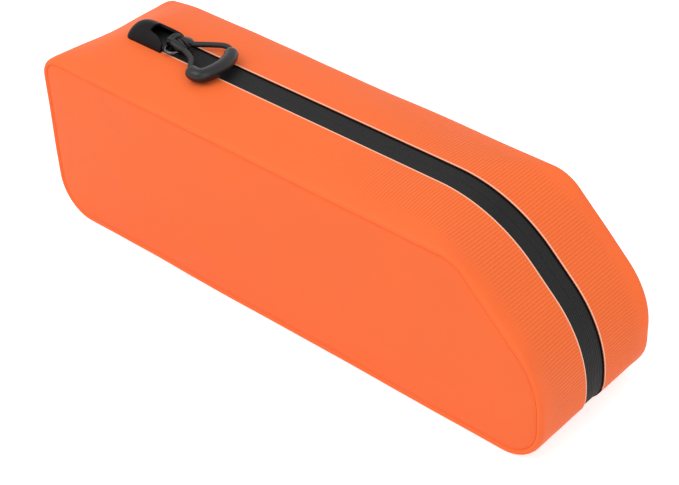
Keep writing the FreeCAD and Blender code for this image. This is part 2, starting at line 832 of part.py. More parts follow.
def pull_knot():
    """Cord wraps round the bail's front bar and a slanting hitch over them."""
    thickness = number("Sizes.wrap_diameter")
    pitch = number("Sizes.wrap_pitch")
    offset = number("Sizes.wrap_offset")
    bar = Vector(number(BAR_PLACE), 0, number(BAIL_AXIS_HEIGHT))
    inner = number("Sizes.wire_diameter / 2 + Sizes.pin_clearance")
    wraps = wraps_round_bar(bar, inner, inner + thickness, pitch, offset)
    tilt = number("Sizes.hitch_tilt")
    axis = FreeCAD.Rotation(UP, tilt).multVec(ACROSS)
    centre = bar + Vector(-number("Sizes.hitch_setback"), offset, number("Sizes.hitch_rise"))
    hitch = Part.makeTorus(number("Sizes.hitch_radius"), thickness / 2, centre, axis)
    add_shape("pull_knot", wraps.fuse(hitch))


# Cord and grip

def route_points():
    """The cord's route in space: the grip's height, with the legs a little lower."""
    height = number("%s + Sizes.grip_height" % CROWN_TOP)
    drop = number("Sizes.leg_drop")
    bar = number(BAR_PLACE)
    length = number("Sizes.pull_length")
    width = number("Sizes.pull_width")
    return [
        Vector(bar + length * ahead, width * left, height - drop if index in LEG_POINTS else height)
        for index, (ahead, left) in enumerate(CORD_ROUTE)
    ]


def bent_path(points):
    """Straight runs joined by tangent arcs; each arc fits its shorter run."""
    edges = []
    radii = []
    previous = points[0]
    for index in range(1, len(points) - 1):
        corner = points[index]
        into = unit(points[index - 1], corner)
        out = unit(corner, points[index + 1])
        turn = into.getAngle(out)
        run = min((corner - points[index - 1]).Length, (points[index + 1] - corner).Length)
        reach = ARC_SHARE * run
        radii.append(reach / math.tan(turn / 2))
        start = corner - into * reach
        end = corner + out * reach
        middle = corner + unit(into, out) * (reach * math.tan(turn / 4))
        edges.append(Part.LineSegment(previous, start).toShape())
        edges.append(Part.Arc(start, middle, end).toShape())
        previous = end
    edges.append(Part.LineSegment(previous, points[-1]).toShape())
    return Part.Wire(edges), radii


def tube(path, radius):
    start = path.Edges[0].Vertexes[0].Point
    direction = path.Edges[0].tangentAt(path.Edges[0].FirstParameter)
    section = Part.Wire([Part.Circle(start, direction, radius).toShape()])
    return path.makePipeShell([section], True, False)


def cord_and_grip():
    points = route_points()
    cord_radius = number("Sizes.cord_diameter") / 2
    path, radii = bent_path(points)
    cord = tube(path, cord_radius)
    print("cord arc radii", ["%.1f" % radius for radius in radii])
    print("cord length %.1f mm" % path.Length)
    print("cord volume ratio %.4f" % (cord.Volume / (math.pi * cord_radius**2 * path.Length)))
    add_shape("pull_cord", cord)

    grip_path = Part.Wire(path.Edges[2 * GRIP_START : 2 * GRIP_END])
    grip_radius = number("Sizes.grip_diameter") / 2
    bore_radius = cord_radius + number("Sizes.grip_bore_clearance")
    grip = tube(grip_path, grip_radius).cut(tube(grip_path, bore_radius))
    add_shape("pull_grip", grip)


side_panels()
gussets_and_zip()
seam_tapes()
side_foams()
base_and_back_foams()
lining()
zip_garage()
zip_slider()
slider_bail()
pull_knot()
cord_and_grip()

NODES = [
    "left_side_panel",
    "right_side_panel",
    "zip_gusset",
    "base_gusset",
    "left_seam_tape",
    "right_seam_tape",
    "left_side_foam",
    "right_side_foam",
    "base_foam",
    "back_foam",
    "lining",
    "left_zip_tape",
    "right_zip_tape",
    "left_zip_coil",
    "right_zip_coil",
    "nose_end_stop",
    "rear_end_stop",
    "zip_garage",
    "zip_slider",
    "slider_bail",
    "pull_knot",
    "pull_cord",
    "pull_grip",
]

doc.recompute()
for thing in doc.Objects:
    if "Invalid" in thing.State or "Error" in thing.State:
        raise ValueError("%s failed: %s" % (thing.Label, thing.State))

os.makedirs("parts", exist_ok=True)
for node in NODES:
    shape = doc.getObjectsByLabel(node)[0].Shape
    if shape.isNull() or not shape.isValid() or not shape.Solids:
        raise ValueError("%s has no sound shape" % node)
    shape.exportStep("parts/%s.step" % node)
    bounds = shape.optimalBoundingBox(False)
    print(
        "%-17s solids %d volume %9.1f  x %.1f..%.1f  y %.1f..%.1f  z %.1f..%.1f"
        % (
            node,
            len(shape.Solids),
            shape.Volume,
            bounds.XMin,
            bounds.XMax,
            bounds.YMin,
            bounds.YMax,
            bounds.ZMin,
            bounds.ZMax,
        )
    )
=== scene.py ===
"""A small coated fabric pouch with a coated zip, a hood over the parked slider and a cord pull."""

import json
import math

import bpy
from bpy.props import FloatProperty, FloatVectorProperty, IntProperty, PointerProperty
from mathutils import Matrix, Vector, noise

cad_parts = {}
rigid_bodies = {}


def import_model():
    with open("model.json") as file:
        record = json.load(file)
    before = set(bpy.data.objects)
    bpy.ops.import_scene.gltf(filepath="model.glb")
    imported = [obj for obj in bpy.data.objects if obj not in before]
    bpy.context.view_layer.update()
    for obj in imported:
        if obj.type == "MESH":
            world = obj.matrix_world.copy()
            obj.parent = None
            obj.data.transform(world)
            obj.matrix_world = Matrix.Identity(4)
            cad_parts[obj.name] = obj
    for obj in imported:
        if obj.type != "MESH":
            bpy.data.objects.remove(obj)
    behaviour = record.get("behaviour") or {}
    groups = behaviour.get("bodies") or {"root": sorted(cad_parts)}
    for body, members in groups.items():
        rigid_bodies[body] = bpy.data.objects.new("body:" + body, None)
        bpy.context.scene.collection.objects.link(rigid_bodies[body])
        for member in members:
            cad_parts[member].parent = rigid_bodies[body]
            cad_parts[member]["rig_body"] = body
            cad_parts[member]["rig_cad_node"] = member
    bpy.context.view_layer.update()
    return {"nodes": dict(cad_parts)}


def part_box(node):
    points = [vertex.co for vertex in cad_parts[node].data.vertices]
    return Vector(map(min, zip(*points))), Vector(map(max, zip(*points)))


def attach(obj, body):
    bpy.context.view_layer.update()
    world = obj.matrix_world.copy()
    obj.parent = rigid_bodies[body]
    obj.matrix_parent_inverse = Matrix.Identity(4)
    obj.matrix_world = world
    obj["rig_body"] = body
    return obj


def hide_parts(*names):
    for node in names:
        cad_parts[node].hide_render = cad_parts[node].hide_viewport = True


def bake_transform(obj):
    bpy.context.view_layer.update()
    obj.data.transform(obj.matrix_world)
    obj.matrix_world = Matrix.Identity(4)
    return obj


bl_info = {
    "name": "Zip Pouch",
    "version": (1, 0, 0),
    "blender": (4, 5, 0),
    "location": "3D View > Sidebar > Pouch",
    "description": "Models a coated fabric pouch with its zip, hood, slider and cord pull",
    "category": "Object",
}

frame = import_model()
MM = 0.001
# Level that the soft bottom presses down to
FOOT = -0.0002
# Seed of the fabric's unevenness, so that each run gives the same pouch
UNEVENNESS_SEED = 1

# Points of the cord's route, from one side of the knot round to the other
CORD_ROUTE = [
    (-0.0642, 0.0027, 0.07235),
    (-0.0596, 0.0062, 0.07235),
    (-0.0531, 0.0092, 0.0728),
    (-0.0481, 0.0052, 0.0728),
    (-0.0457, -0.0008, 0.0728),
    (-0.0456, -0.0061, 0.0728),
    (-0.0468, -0.0114, 0.0728),
    (-0.0518, -0.0112, 0.0728),
    (-0.0549, -0.0081, 0.0728),
    (-0.0586, -0.0038, 0.07235),
    (-0.0639, -0.0022, 0.07235),
]
GRIP_START = (-0.0497, 0.0067)
GRIP_END = (-0.0520, -0.0104)

# One loose loop of the knot round the bail's front bar, seen from the side (x, z)
KNOT_LOOP = [
    (-0.0721, 0.0743),
    (-0.0698, 0.0747),
    (-0.0667, 0.0735),
    (-0.0651, 0.0719),
    (-0.0662, 0.0701),
    (-0.0682, 0.0705),
    (-0.0695, 0.0721),
    (-0.0706, 0.0738),
]
# The knot's two tails, from under its loops to the ends of the cord
KNOT_TAILS = [
    [
        (-0.0700, 0.0004, 0.0737),
        (-0.0685, 0.0011, 0.0740),
        (-0.0665, 0.0021, 0.0734),
        (-0.0641, 0.0027, 0.0723),
    ],
    [
        (-0.0694, -0.0024, 0.0736),
        (-0.0682, -0.0030, 0.0737),
        (-0.0660, -0.0029, 0.0732),
        (-0.0638, -0.0022, 0.0723),
    ],
]
# Half of the wire bail, from the slider's lug to the middle of its rounded front bar (x, y)
BAIL_HALF = [
    (-0.0724, 0.0006),
    (-0.0722, 0.0030),
    (-0.0713, 0.0050),
    (-0.0692, 0.0057),
    (-0.0671, 0.0051),
    (-0.0662, 0.0030),
    (-0.0660, 0.0008),
]
# Half of the hood's section, from its base to its ridge: shares of its half width and height
HOOD_SECTION = [
    (1.0, -0.05),
    (1.0, 0.30),
    (0.77, 0.60),
    (0.40, 0.91),
    (0.0, 0.93),
]

# Notch in the hood's roof, and the set-back of its front edge: how deep each is, and the half
# widths between which it runs out
HOOD_NOTCH = 0.0046
HOOD_NOTCH_SIDE = (0.0027, 0.0034)
HOOD_SETBACK = 0.0032
HOOD_SETBACK_SIDE = (0.0032, 0.0051)
HOOD_WALL = 0.0009
HOOD_EDGE = 0.00018

# Loops of the knot on the bail's front bar: the way across at the knot's middle, and the lean
KNOT_LOOPS = [(-0.0017, 0.10), (-0.0004, -0.10), (0.0009, 0.16)]
KNOT_MIDDLE = -0.068
# Turns of cord round those loops: the middle, half width and half height of the first one, the
# set-back, lean and twist of each turn, and how many points it has
STRAND_MIDDLE = (-0.0693, -0.0003, 0.0741)
STRAND_HALF_WIDTH = 0.0019
STRAND_HALF_HEIGHT = 0.0012
STRAND_SETBACK = 0.00135
STRAND_LEAN = 0.25
STRAND_TWIST = 0.3
STRAND_POINTS = 8
# Radius of the knot's tails as a share of the cord's diameter
TAIL_SHARE = 0.46
# Radius of the bail's wire, and how far the wire lies under the middle of the CAD bail's box
BAIL_RADIUS = 0.00058
BAIL_DROP = 0.0003

# Corners of the pouch's outline in millimetres, at the side seams and on the middle line
BACK_LOW_RADIUS = (14.5, 13)
NOSE_LOW_RADIUS = (14.7, 13)
LOW_BEND_RADIUS = (29.5, 44)
TOP_BEND_RADIUS = (15, 52)
BACK_SLOPE_LENGTH = (18, 18)
BACK_SLOPE_REACH = (6, 6)
BACK_EDGE_RISE = (0.6, 0.6)
BACK_TOP_RADIUS = (8, 8)

# Half widths between which the fabric's unevenness grows from nothing
STILL_BAND = (0.007, 0.022)
# Waves of the unevenness for each metre, broad and fine, and the share of the fine ones
BROAD_WAVES = 22
FINE_WAVES = 55
FINE_SHARE = 0.5
# Share of the height over which the bottom edges' arches fade out
ARCH_HEIGHT = 0.4

# Opening for the zip: its rear end, the nose's face, and how high over the base it stops
SLOT_REAR = -0.089
SLOT_NOSE = 0.1
SLOT_FOOT = 0.003
# The base gusset's front end and upper end
BASE_FRONT = 0.08
BASE_TOP = 0.04
# Width of the pale cut edge, and where it starts behind the zip and over the nose's foot
CUT_EDGE = 0.00035
CUT_REAR = -0.086
CUT_FOOT = 0.004
# Stretch of the opening that the hood covers, where the fabric beside it gets painted shade
HOOD_COVER = (-0.0865, -0.0745)

# Zip tapes: their foot, the height that parts nose and top, the nose's face and the rear end
TAPE_FOOT = 0.0012
TAPE_TURN = 0.035
TAPE_NOSE = 0.1035
TAPE_REAR = -0.095
TAPE_THICKNESS = 0.001
# Section of a zip tape beside the slit: the way from the middle, and the depth
TAPE_SLIT = [(0.00003, 0.0004), (0.00006, 0.0001), (0.0002, 0.00004)]
# Where its ribs start from the middle, and how far from the cut edge they stop
RIBS_START = 0.0004
RIBS_STOP = 0.0007
# Its groove along the cut edge: the shoulder's way from that edge, then ways and depths
GROOVE_SHOULDER = -0.0005
TAPE_GROOVE = [(-0.0003, 0.0002), (0.0002, 0.0003), (0.0006, 0.0001)]
TAPE_HEM_DEPTH = 0.0001

# Edges sharper than this many degrees are rounded
SHARP_ANGLE = 50

# Camera in metres, degrees and millimetres, and the lamps' places, widths and powers
CAMERA_PLACE = (0.3422, -0.35727, 0.39613)
CAMERA_TURN = (52.59, 2.2822, 41.77)
CAMERA_LENS = 95.9
KEY_LAMP = ((-0.5, -0.9, 1.3), 1.2, 9.4)
FILL_LAMP = ((1.1, -0.4, 0.9), 1.2, 4.2)
LAMP_AIM = (0, 0, 0.04)
FLOOR_LIFT = 0.6
WORLD_LEVEL = 0.7
WORLD_SEEN = 0.3

# Section of the gusset's edge, from the bottom of the side seam over its bead and round the corner:
# the way in from the outline, and the way in from the side face, in millimetres
BEAD_SECTION = [
    (2.2, 1.3),
    (2.2, 0.5),
    (2.06, 0.35),
    (1.86, 0.2),
    (1.6, 0.07),
    (1.3, 0.0),
    (0.92, 0.07),
    (0.56, 0.28),
    (0.27, 0.68),
    (0.07, 1.35),
    (0.0, 2.3),
    (-0.04, 3.6),
]
# Section of the side panel's edge, from the bottom of the seam to its flat face
PANEL_SECTION = [
    (2.2, 1.3),
    (2.2, 0.5),
    (2.4, 0.38),
    (2.7, 0.29),
    (3.2, 0.2),
    (4.0, 0.12),
    (5.2, 0.05),
    (6.8, 0.0),
]


def size(name, default, description):
    return FloatProperty(
        name=name, default=default, description=description, unit="LENGTH", precision=5, min=0
    )


def colour(name, default, description):
    return FloatVectorProperty(
        name=name, default=default, description=description, subtype="COLOR", size=3, min=0, max=1
    )


class PouchSizes(bpy.types.PropertyGroup):
    """Sizes of the pouch that a user would change"""

    length: size("Length", 0.22, "Length of the pouch")
    width: size("Width", 0.057, "Width across the side panels")
    height: size("Height", 0.066, "Height of the side panels")
    nose_height: size("Nose height", 0.0337, "Height at which the nose starts to slope")
    bend_place: size("Bend place", 0.07685, "Distance of the upper bend from the middle")
    crown: size("Crown", 0.0039, "Swell of the top along its middle line")
    crown_flat: size("Crown flat", 0.006, "Half width of the level middle of the top")
    skin: size("Fabric", 0.0008, "Thickness of the coated fabric")
    panel_puff: size("Panel puff", 0.0005, "How far the side panels swell")
    sway: size("Sway", 0.0003, "Unevenness of the fabric")
    base_arch: size("Base arch", 0.0001, "How far the bottom edges rise in the middle")
    foot_arch: size("Foot arch", 0.0009, "How far the nose's bottom edge rises at the zip")
    fullness: size("Fullness", 0.0005, "How far the padded walls stand out")
    back_drop: size("Back drop", 0.0019, "How far the top slopes down to the back edge")
    back_dip: size("Back dip", 0.0013, "How much lower still the middle of the back edge is")
    rib_pitch: size("Rib pitch", 0.00115, "Spacing of the fine ribs across the gusset")
    band_width: size("Band width", 0.0097, "Width of the visible zip band")
    tape_reach: size("Tape reach", 0.009, "Half width of the zip tapes under the fabric")
    tape_rib: size("Tape rib", 0.00083, "Spacing of the ribs along the zip tapes")
    tape_rise: size("Tape rise", 0.00035, "How far the band stands up between the cut edges")
    tape_rib_height: size("Tape rib height", 0.0002, "Height of the ribs along the zip tapes")
    cord: size("Cord", 0.002, "Diameter of the cord")
    wrap: size("Wrap", 0.0013, "Diameter of the cord in the knot")
    grip: size("Grip", 0.005, "Diameter of the moulded grip")
    wraps: IntProperty(
        name="Wraps", default=2, min=1, description="Turns of cord round the knot's loops"
    )


class PouchColours(bpy.types.PropertyGroup):
    """Colours of the pouch that a user would change"""

    fabric: colour("Fabric", (1.0, 0.165, 0.038), "Coated fabric")
    fabric_edge: colour("Cut edge", (1.0, 0.55, 0.38), "Cut edge of the fabric beside the zip")
    tape: colour("Zip tape", (0.011, 0.0105, 0.011), "Coated zip tapes")
    hood: colour("Hood", (0.0075, 0.006, 0.0065), "Moulded hood")
    slider: colour("Slider", (0.035, 0.035, 0.037), "Painted slider")
    wire: colour("Wire", (0.11, 0.11, 0.12), "Wire bail")
    cord: colour("Cord", (0.009, 0.009, 0.010), "Cord and knot")
    grip: colour("Grip", (0.0095, 0.0097, 0.0105), "Moulded grip")
    foam: colour("Foam", (0.30, 0.30, 0.31), "Foam boards")
    lining: colour("Lining", (0.10, 0.10, 0.11), "Lining cloth")
    floor: colour("Floor", (0.80, 0.80, 0.80), "Floor")


# Selecting and finishing

def start_fresh():
    """Leave edit mode with nothing selected."""
    if bpy.context.mode != "OBJECT":
        bpy.ops.object.mode_set(mode="OBJECT")
    bpy.ops.object.select_all(action="DESELECT")


def only(piece):
    start_fresh()
    piece.select_set(True)
    bpy.context.view_layer.objects.active = piece


def named(name):
    piece = bpy.context.object
    piece.name = name
    piece.data.name = name
    return piece


def apply_modifier(piece, kind, **settings):
    only(piece)
    modifier = piece.modifiers.new(kind.title(), kind)
    for key, value in settings.items():
        setattr(modifier, key, value)
    bpy.ops.object.modifier_apply(modifier=modifier.name)


def soften_edges(piece, width):
    """Round the piece's sharp edges."""
    angle = math.radians(SHARP_ANGLE)
    apply_modifier(
        piece, "BEVEL", width=width, segments=2, limit_method="ANGLE", angle_limit=angle
    )


def merge_doubles(piece, distance=0.000001):
    only(piece)
    bpy.ops.object.mode_set(mode="EDIT")
    bpy.ops.mesh.select_all(action="SELECT")
    bpy.ops.mesh.remove_doubles(threshold=distance)
    bpy.ops.object.mode_set(mode="OBJECT")


def select_faces(piece, wanted):
    """Select in edit mode the faces whose middle passes the test."""
    only(piece)
    bpy.ops.object.mode_set(mode="EDIT")
    bpy.ops.mesh.select_mode(type="FACE")
    bpy.ops.mesh.select_all(action="DESELECT")
    bpy.ops.object.mode_set(mode="OBJECT")
    for face in piece.data.polygons:
        face.select = wanted(face)
    bpy.ops.object.mode_set(mode="EDIT")


def smooth(piece, angle=40):
    only(piece)
    bpy.ops.object.shade_smooth_by_angle(angle=math.radians(angle))


def dress(piece, material):
    """Give the piece its material in a single slot."""
    piece.data.materials.clear()
    piece.data.materials.append(material)


def dress_node(node, material):
    for place in frame["nodes"][node].material_slots:
        place.material = material


# Form of the pouch

def smoothstep(low, high, value):
    share = min(max((value - low) / (high - low), 0.0), 1.0)
    return share * share * (3 - 2 * share)


def outline(share):
    """Outline corners at a share of the full swell: x, z, radius or None, reach."""
    sizes = bpy.context.scene.pouch_sizes
    half = sizes.length / 2
    top = sizes.height + share * sizes.crown
    lean = (half - sizes.bend_place) / (sizes.height - sizes.nose_height)

    def mix(pair):
        at_side, at_middle = pair
        return ((1 - share) * at_side + share * at_middle) * MM

    return [
        (-half, 0, mix(BACK_LOW_RADIUS), None),
        (half, 0, mix(NOSE_LOW_RADIUS), None),
        (half, sizes.nose_height, mix(LOW_BEND_RADIUS), None),
        (sizes.bend_place - share * sizes.crown * lean, top, mix(TOP_BEND_RADIUS), None),
        (-half + mix(BACK_SLOPE_LENGTH), top, None, mix(BACK_SLOPE_REACH)),
        (-half, sizes.height + share * mix(BACK_EDGE_RISE), mix(BACK_TOP_RADIUS), None),
    ]


# Steps of the arc at each corner of the outline, and of the run from it to the next one
ARC_STEPS = (10, 10, 14, 16, 4, 8)
RUN_STEPS = (64, 4, 9, 56, 3, 20)


def round_the(corners):
    """Points round the outline: an arc at each corner, and the run to the next one."""
    places = [Vector((x, z)) for x, z, radius, reach in corners]
    count = len(corners)
    arcs = []
    for index, (x, z, radius, reach) in enumerate(corners):
        into = (places[index] - places[index - 1]).normalized()
        out = (places[(index + 1) % count] - places[index]).normalized()
        turn = into.angle(out)
        reach = reach or radius * math.tan(turn / 2)
        start = places[index] - into * reach
        end = places[index] + out * reach
        weight = math.cos(turn / 2)
        arc = []
        for step in range(ARC_STEPS[index] + 1):
            t = step / ARC_STEPS[index]
            near, middle, far = (1 - t) ** 2, 2 * t * (1 - t) * weight, t * t
            arc.append((start * near + places[index] * middle + end * far) / (near + middle + far))
        arcs.append(arc)
    points = []
    for index, arc in enumerate(arcs):
        points.extend(arc)
        ahead = arcs[(index + 1) % count][0]
        for step in range(1, RUN_STEPS[index]):
            points.append(arc[-1].lerp(ahead, step / RUN_STEPS[index]))
    return points


def outward(points):
    """Unit normals of a closed outline that runs anticlockwise."""
    normals = []
    for index in range(len(points)):
        along = points[(index + 1) % len(points)] - points[index - 1]
        normals.append(Vector((along.y, -along.x)).normalized())
    return normals


class Form:
    """The pouch's outer surface, from its side seams to its middle line."""

    def __init__(self):
        noise.seed_set(UNEVENNESS_SEED)
        self.sizes = bpy.context.scene.pouch_sizes
        self.side = round_the(outline(0))
        self.middle = round_the(outline(1))
        self.side_out = outward(self.side)
        self.middle_out = outward(self.middle)
        self.count = len(self.side)
        self.travel = [0.0]
        for index in range(self.count):
            ahead = self.middle[(index + 1) % self.count]
            self.travel.append(self.travel[-1] + (ahead - self.middle[index]).length)

    def swell(self, y):
        half = self.sizes.width / 2
        share = max(abs(y) - self.sizes.crown_flat, 0) / (half - self.sizes.crown_flat)
        return max(1 - share * share, 0)

    def place(self, index, y, depth=0.0):
        """A point of the surface, set in by a depth."""
        index = index % self.count
        share = self.swell(y)
        spot = self.side[index].lerp(self.middle[index], share)
        out = self.side_out[index].lerp(self.middle_out[index], share).normalized()
        spot = spot + out * (self.sizes.fullness * (1 - share) - depth)
        return self.sway(Vector((spot.x, y, spot.y)))

    def sway(self, point):
        """The fabric's unevenness, which leaves the zip and the hood alone."""
        amount = self.sizes.sway * smoothstep(*STILL_BAND, abs(point.y))
        broad = noise.noise_vector(point * BROAD_WAVES)
        drift = broad + FINE_SHARE * noise.noise_vector(point * FINE_WAVES)
        half = self.sizes.length / 2
        low = max(1 - point.z / (ARCH_HEIGHT * self.sizes.height), 0)
        middle = max(1 - (2 * point.y / self.sizes.width) ** 2, 0)
        arch = low * max(1 - (point.x / half) ** 2, 0) * self.sizes.base_arch
        nose = smoothstep(0.8, 0.95, point.x / half)
        foot = low * math.sqrt(middle) * nose * self.sizes.foot_arch
        # The back edge of the top hangs lower towards the far side
        far = smoothstep(-1.05, 0.2, 2 * point.y / self.sizes.width)
        high = smoothstep(0.7, 1.0, point.z / self.sizes.height)
        back = smoothstep(0.8, 1.0, -point.x / half) * high
        drop = back * (far * self.sizes.back_drop + middle * self.sizes.back_dip)
        swayed = point + drift * amount + Vector((0.5 * drop, 0, arch + foot - drop))
        swayed.z = max(swayed.z, FOOT)
        return swayed

    def locate(self, x, z):
        """The way round the middle line to the point beside it, and the height over that line."""
        spot = Vector((x, z))
        gaps = [(place - spot).length_squared for place in self.middle]
        index = gaps.index(min(gaps))
        out = self.middle_out[index]
        gap = spot - self.middle[index]
        return self.travel[index] + gap.dot(Vector((-out.y, out.x))), gap.dot(out)

    def panel_depth(self, x, z):
        """Distance in from the side outline, without creases where its sides meet."""
        half = self.sizes.length / 2
        run = half - self.sizes.bend_place
        rise = self.sizes.height - self.sizes.nose_height
        slope = (rise * (half - x) - run * (z - self.sizes.nose_height)) / math.hypot(run, rise)
        ways = (z, self.sizes.height - z, half - x, half + x, slope)
        return sum(max(way, MM / 10) ** -4 for way in ways) ** -0.25


def grid_over(name, rows, columns, placed, mapped):
    """A grid whose points are moved on to a surface. Its UV map is in metres."""
    start_fresh()
    bpy.ops.mesh.primitive_grid_add(x_subdivisions=rows, y_subdivisions=columns, size=2)
    piece = named(name)
    mesh = piece.data

    def spot(vertex):
        return round((vertex.co.x + 1) * rows / 2), round((vertex.co.y + 1) * columns / 2)

    spots = [spot(vertex) for vertex in mesh.vertices]
    layer = mesh.uv_layers.active or mesh.uv_layers.new(name="UVMap")
    for loop in mesh.loops:
        layer.data[loop.index].uv = mapped(*spots[loop.vertex_index])
    for vertex, (row, column) in zip(mesh.vertices, spots):
        vertex.co = placed(row, column)
    return piece


def mark(piece, name, value):
    """Store a number on every point for the material."""
    attribute = piece.data.attributes.new(name, "FLOAT", "POINT")
    for vertex in piece.data.vertices:
        attribute.data[vertex.index].value = value(vertex.co)


# Shared effects for the materials

def link(tree, source, output, target, entry):
    tree.links.new(source.outputs[output], target.inputs[entry])


def add_node(tree, kind, **inputs):
    """A node with its options and its inputs' values. Options start with a small letter."""
    node = tree.nodes.new(kind)
    for key, value in inputs.items():
        if key[0].islower():
            setattr(node, key, value)
        else:
            node.inputs[key.replace("_", " ")].default_value = value
    return node


def math_node(tree, operation, first, second):
    """A Math node fed by numbers or by (node, output) pairs."""
    node = tree.nodes.new("ShaderNodeMath")
    node.operation = operation
    for entry, value in enumerate((first, second)):
        if isinstance(value, tuple):
            link(tree, value[0], value[1], node, entry)
        elif value is not None:
            node.inputs[entry].default_value = value
    return node


def new_group(name, inputs, outputs):
    group = bpy.data.node_groups.new(name, "ShaderNodeTree")
    for entry, (kind, default) in inputs.items():
        socket = group.interface.new_socket(name=entry, in_out="INPUT", socket_type=kind)
        if default is not None:
            socket.default_value = default
    for entry, kind in outputs.items():
        group.interface.new_socket(name=entry, in_out="OUTPUT", socket_type=kind)
    return group, group.nodes.new("NodeGroupInput"), group.nodes.new("NodeGroupOutput")


def grain_group():
    """Fine moulding grain with broad uneven patches."""
    if "Fine Grain" in bpy.data.node_groups:
        return bpy.data.node_groups["Fine Grain"]
    inputs = {
        "Vector": ("NodeSocketVector", None),
        "Grain Scale": ("NodeSocketFloat", 3000.0),
        "Patch Scale": ("NodeSocketFloat", 60.0),
    }
    outputs = {"Height": "NodeSocketFloat", "Patch": "NodeSocketFloat"}
    group, entry, leave = new_group("Fine Grain", inputs, outputs)
    fine = add_node(group, "ShaderNodeTexNoise", Detail=2.0, Roughness=0.6)
    patch = add_node(group, "ShaderNodeTexNoise", Detail=3.0, Roughness=0.5)
    link(group, entry, "Vector", fine, "Vector")
    link(group, entry, "Vector", patch, "Vector")
    link(group, entry, "Grain Scale", fine, "Scale")
    link(group, entry, "Patch Scale", patch, "Scale")
    link(group, fine, "Fac", leave, "Height")
    link(group, patch, "Fac", leave, "Patch")
    return group


def weave_group():
    """Crossing threads on a map in metres."""
    if "Plain Weave" in bpy.data.node_groups:
        return bpy.data.node_groups["Plain Weave"]
    inputs = {
        "Vector": ("NodeSocketVector", None),
        "Threads": ("NodeSocketFloat", 2500.0),
    }
    group, entry, leave = new_group("Plain Weave", inputs, {"Height": "NodeSocketFloat"})
    split = add_node(group, "ShaderNodeSeparateXYZ")
    link(group, entry, "Vector", split, "Vector")
    waves = []
    for axis in ("X", "Y"):
        turns = math_node(group, "MULTIPLY", (split, axis), (entry, "Threads"))
        radians = math_node(group, "MULTIPLY", (turns, 0), 2 * math.pi)
        waves.append(math_node(group, "SINE", (radians, 0), None))
    crossed = math_node(group, "MULTIPLY", (waves[0], 0), (waves[1], 0))
    half = math_node(group, "MULTIPLY_ADD", (crossed, 0), 0.5)
    half.inputs[2].default_value = 0.5
    link(group, half, 0, leave, "Height")
    return group


def place_group(tree, group, vector, **values):
    node = tree.nodes.new("ShaderNodeGroup")
    node.node_tree = group
    link(tree, *vector, node, "Vector")
    for key, value in values.items():
        node.inputs[key.replace("_", " ")].default_value = value
    return node


def new_material(name, **shader_values):
    material = bpy.data.materials.new(name)
    material.use_nodes = True
    tree = material.node_tree
    shader = tree.nodes["Principled BSDF"]
    for key, value in shader_values.items():
        shader.inputs[key.replace("_", " ")].default_value = value
    return material, tree, shader


def mix_colours(tree, factor, first, second):
    """A colour that goes from the first to the second with the factor."""
    node = tree.nodes.new("ShaderNodeMix")
    node.data_type = "RGBA"
    link(tree, *factor, node, "Factor")
    for entry, value in ((6, first), (7, second)):
        if isinstance(value[0], bpy.types.Node):
            link(tree, *value, node, entry)
        else:
            node.inputs[entry].default_value = (*value, 1)
    return node, 2


def remap(tree, source, low, high, to_low, to_high):
    node = tree.nodes.new("ShaderNodeMapRange")
    link(tree, *source, node, "Value")
    for key, value in (("From Min", low), ("From Max", high), ("To Min", to_low), ("To Max", to_high)):
        node.inputs[key].default_value = value
    return node, 0


def bump(tree, height, distance, strength=1.0, below=None):
    node = add_node(tree, "ShaderNodeBump", Strength=strength, Distance=distance)
    link(tree, *height, node, "Height")
    if below:
        link(tree, below, "Normal", node, "Normal")
    return node


def scaled(rgb, factor):
    return tuple(min(value * factor, 1) for value in rgb)


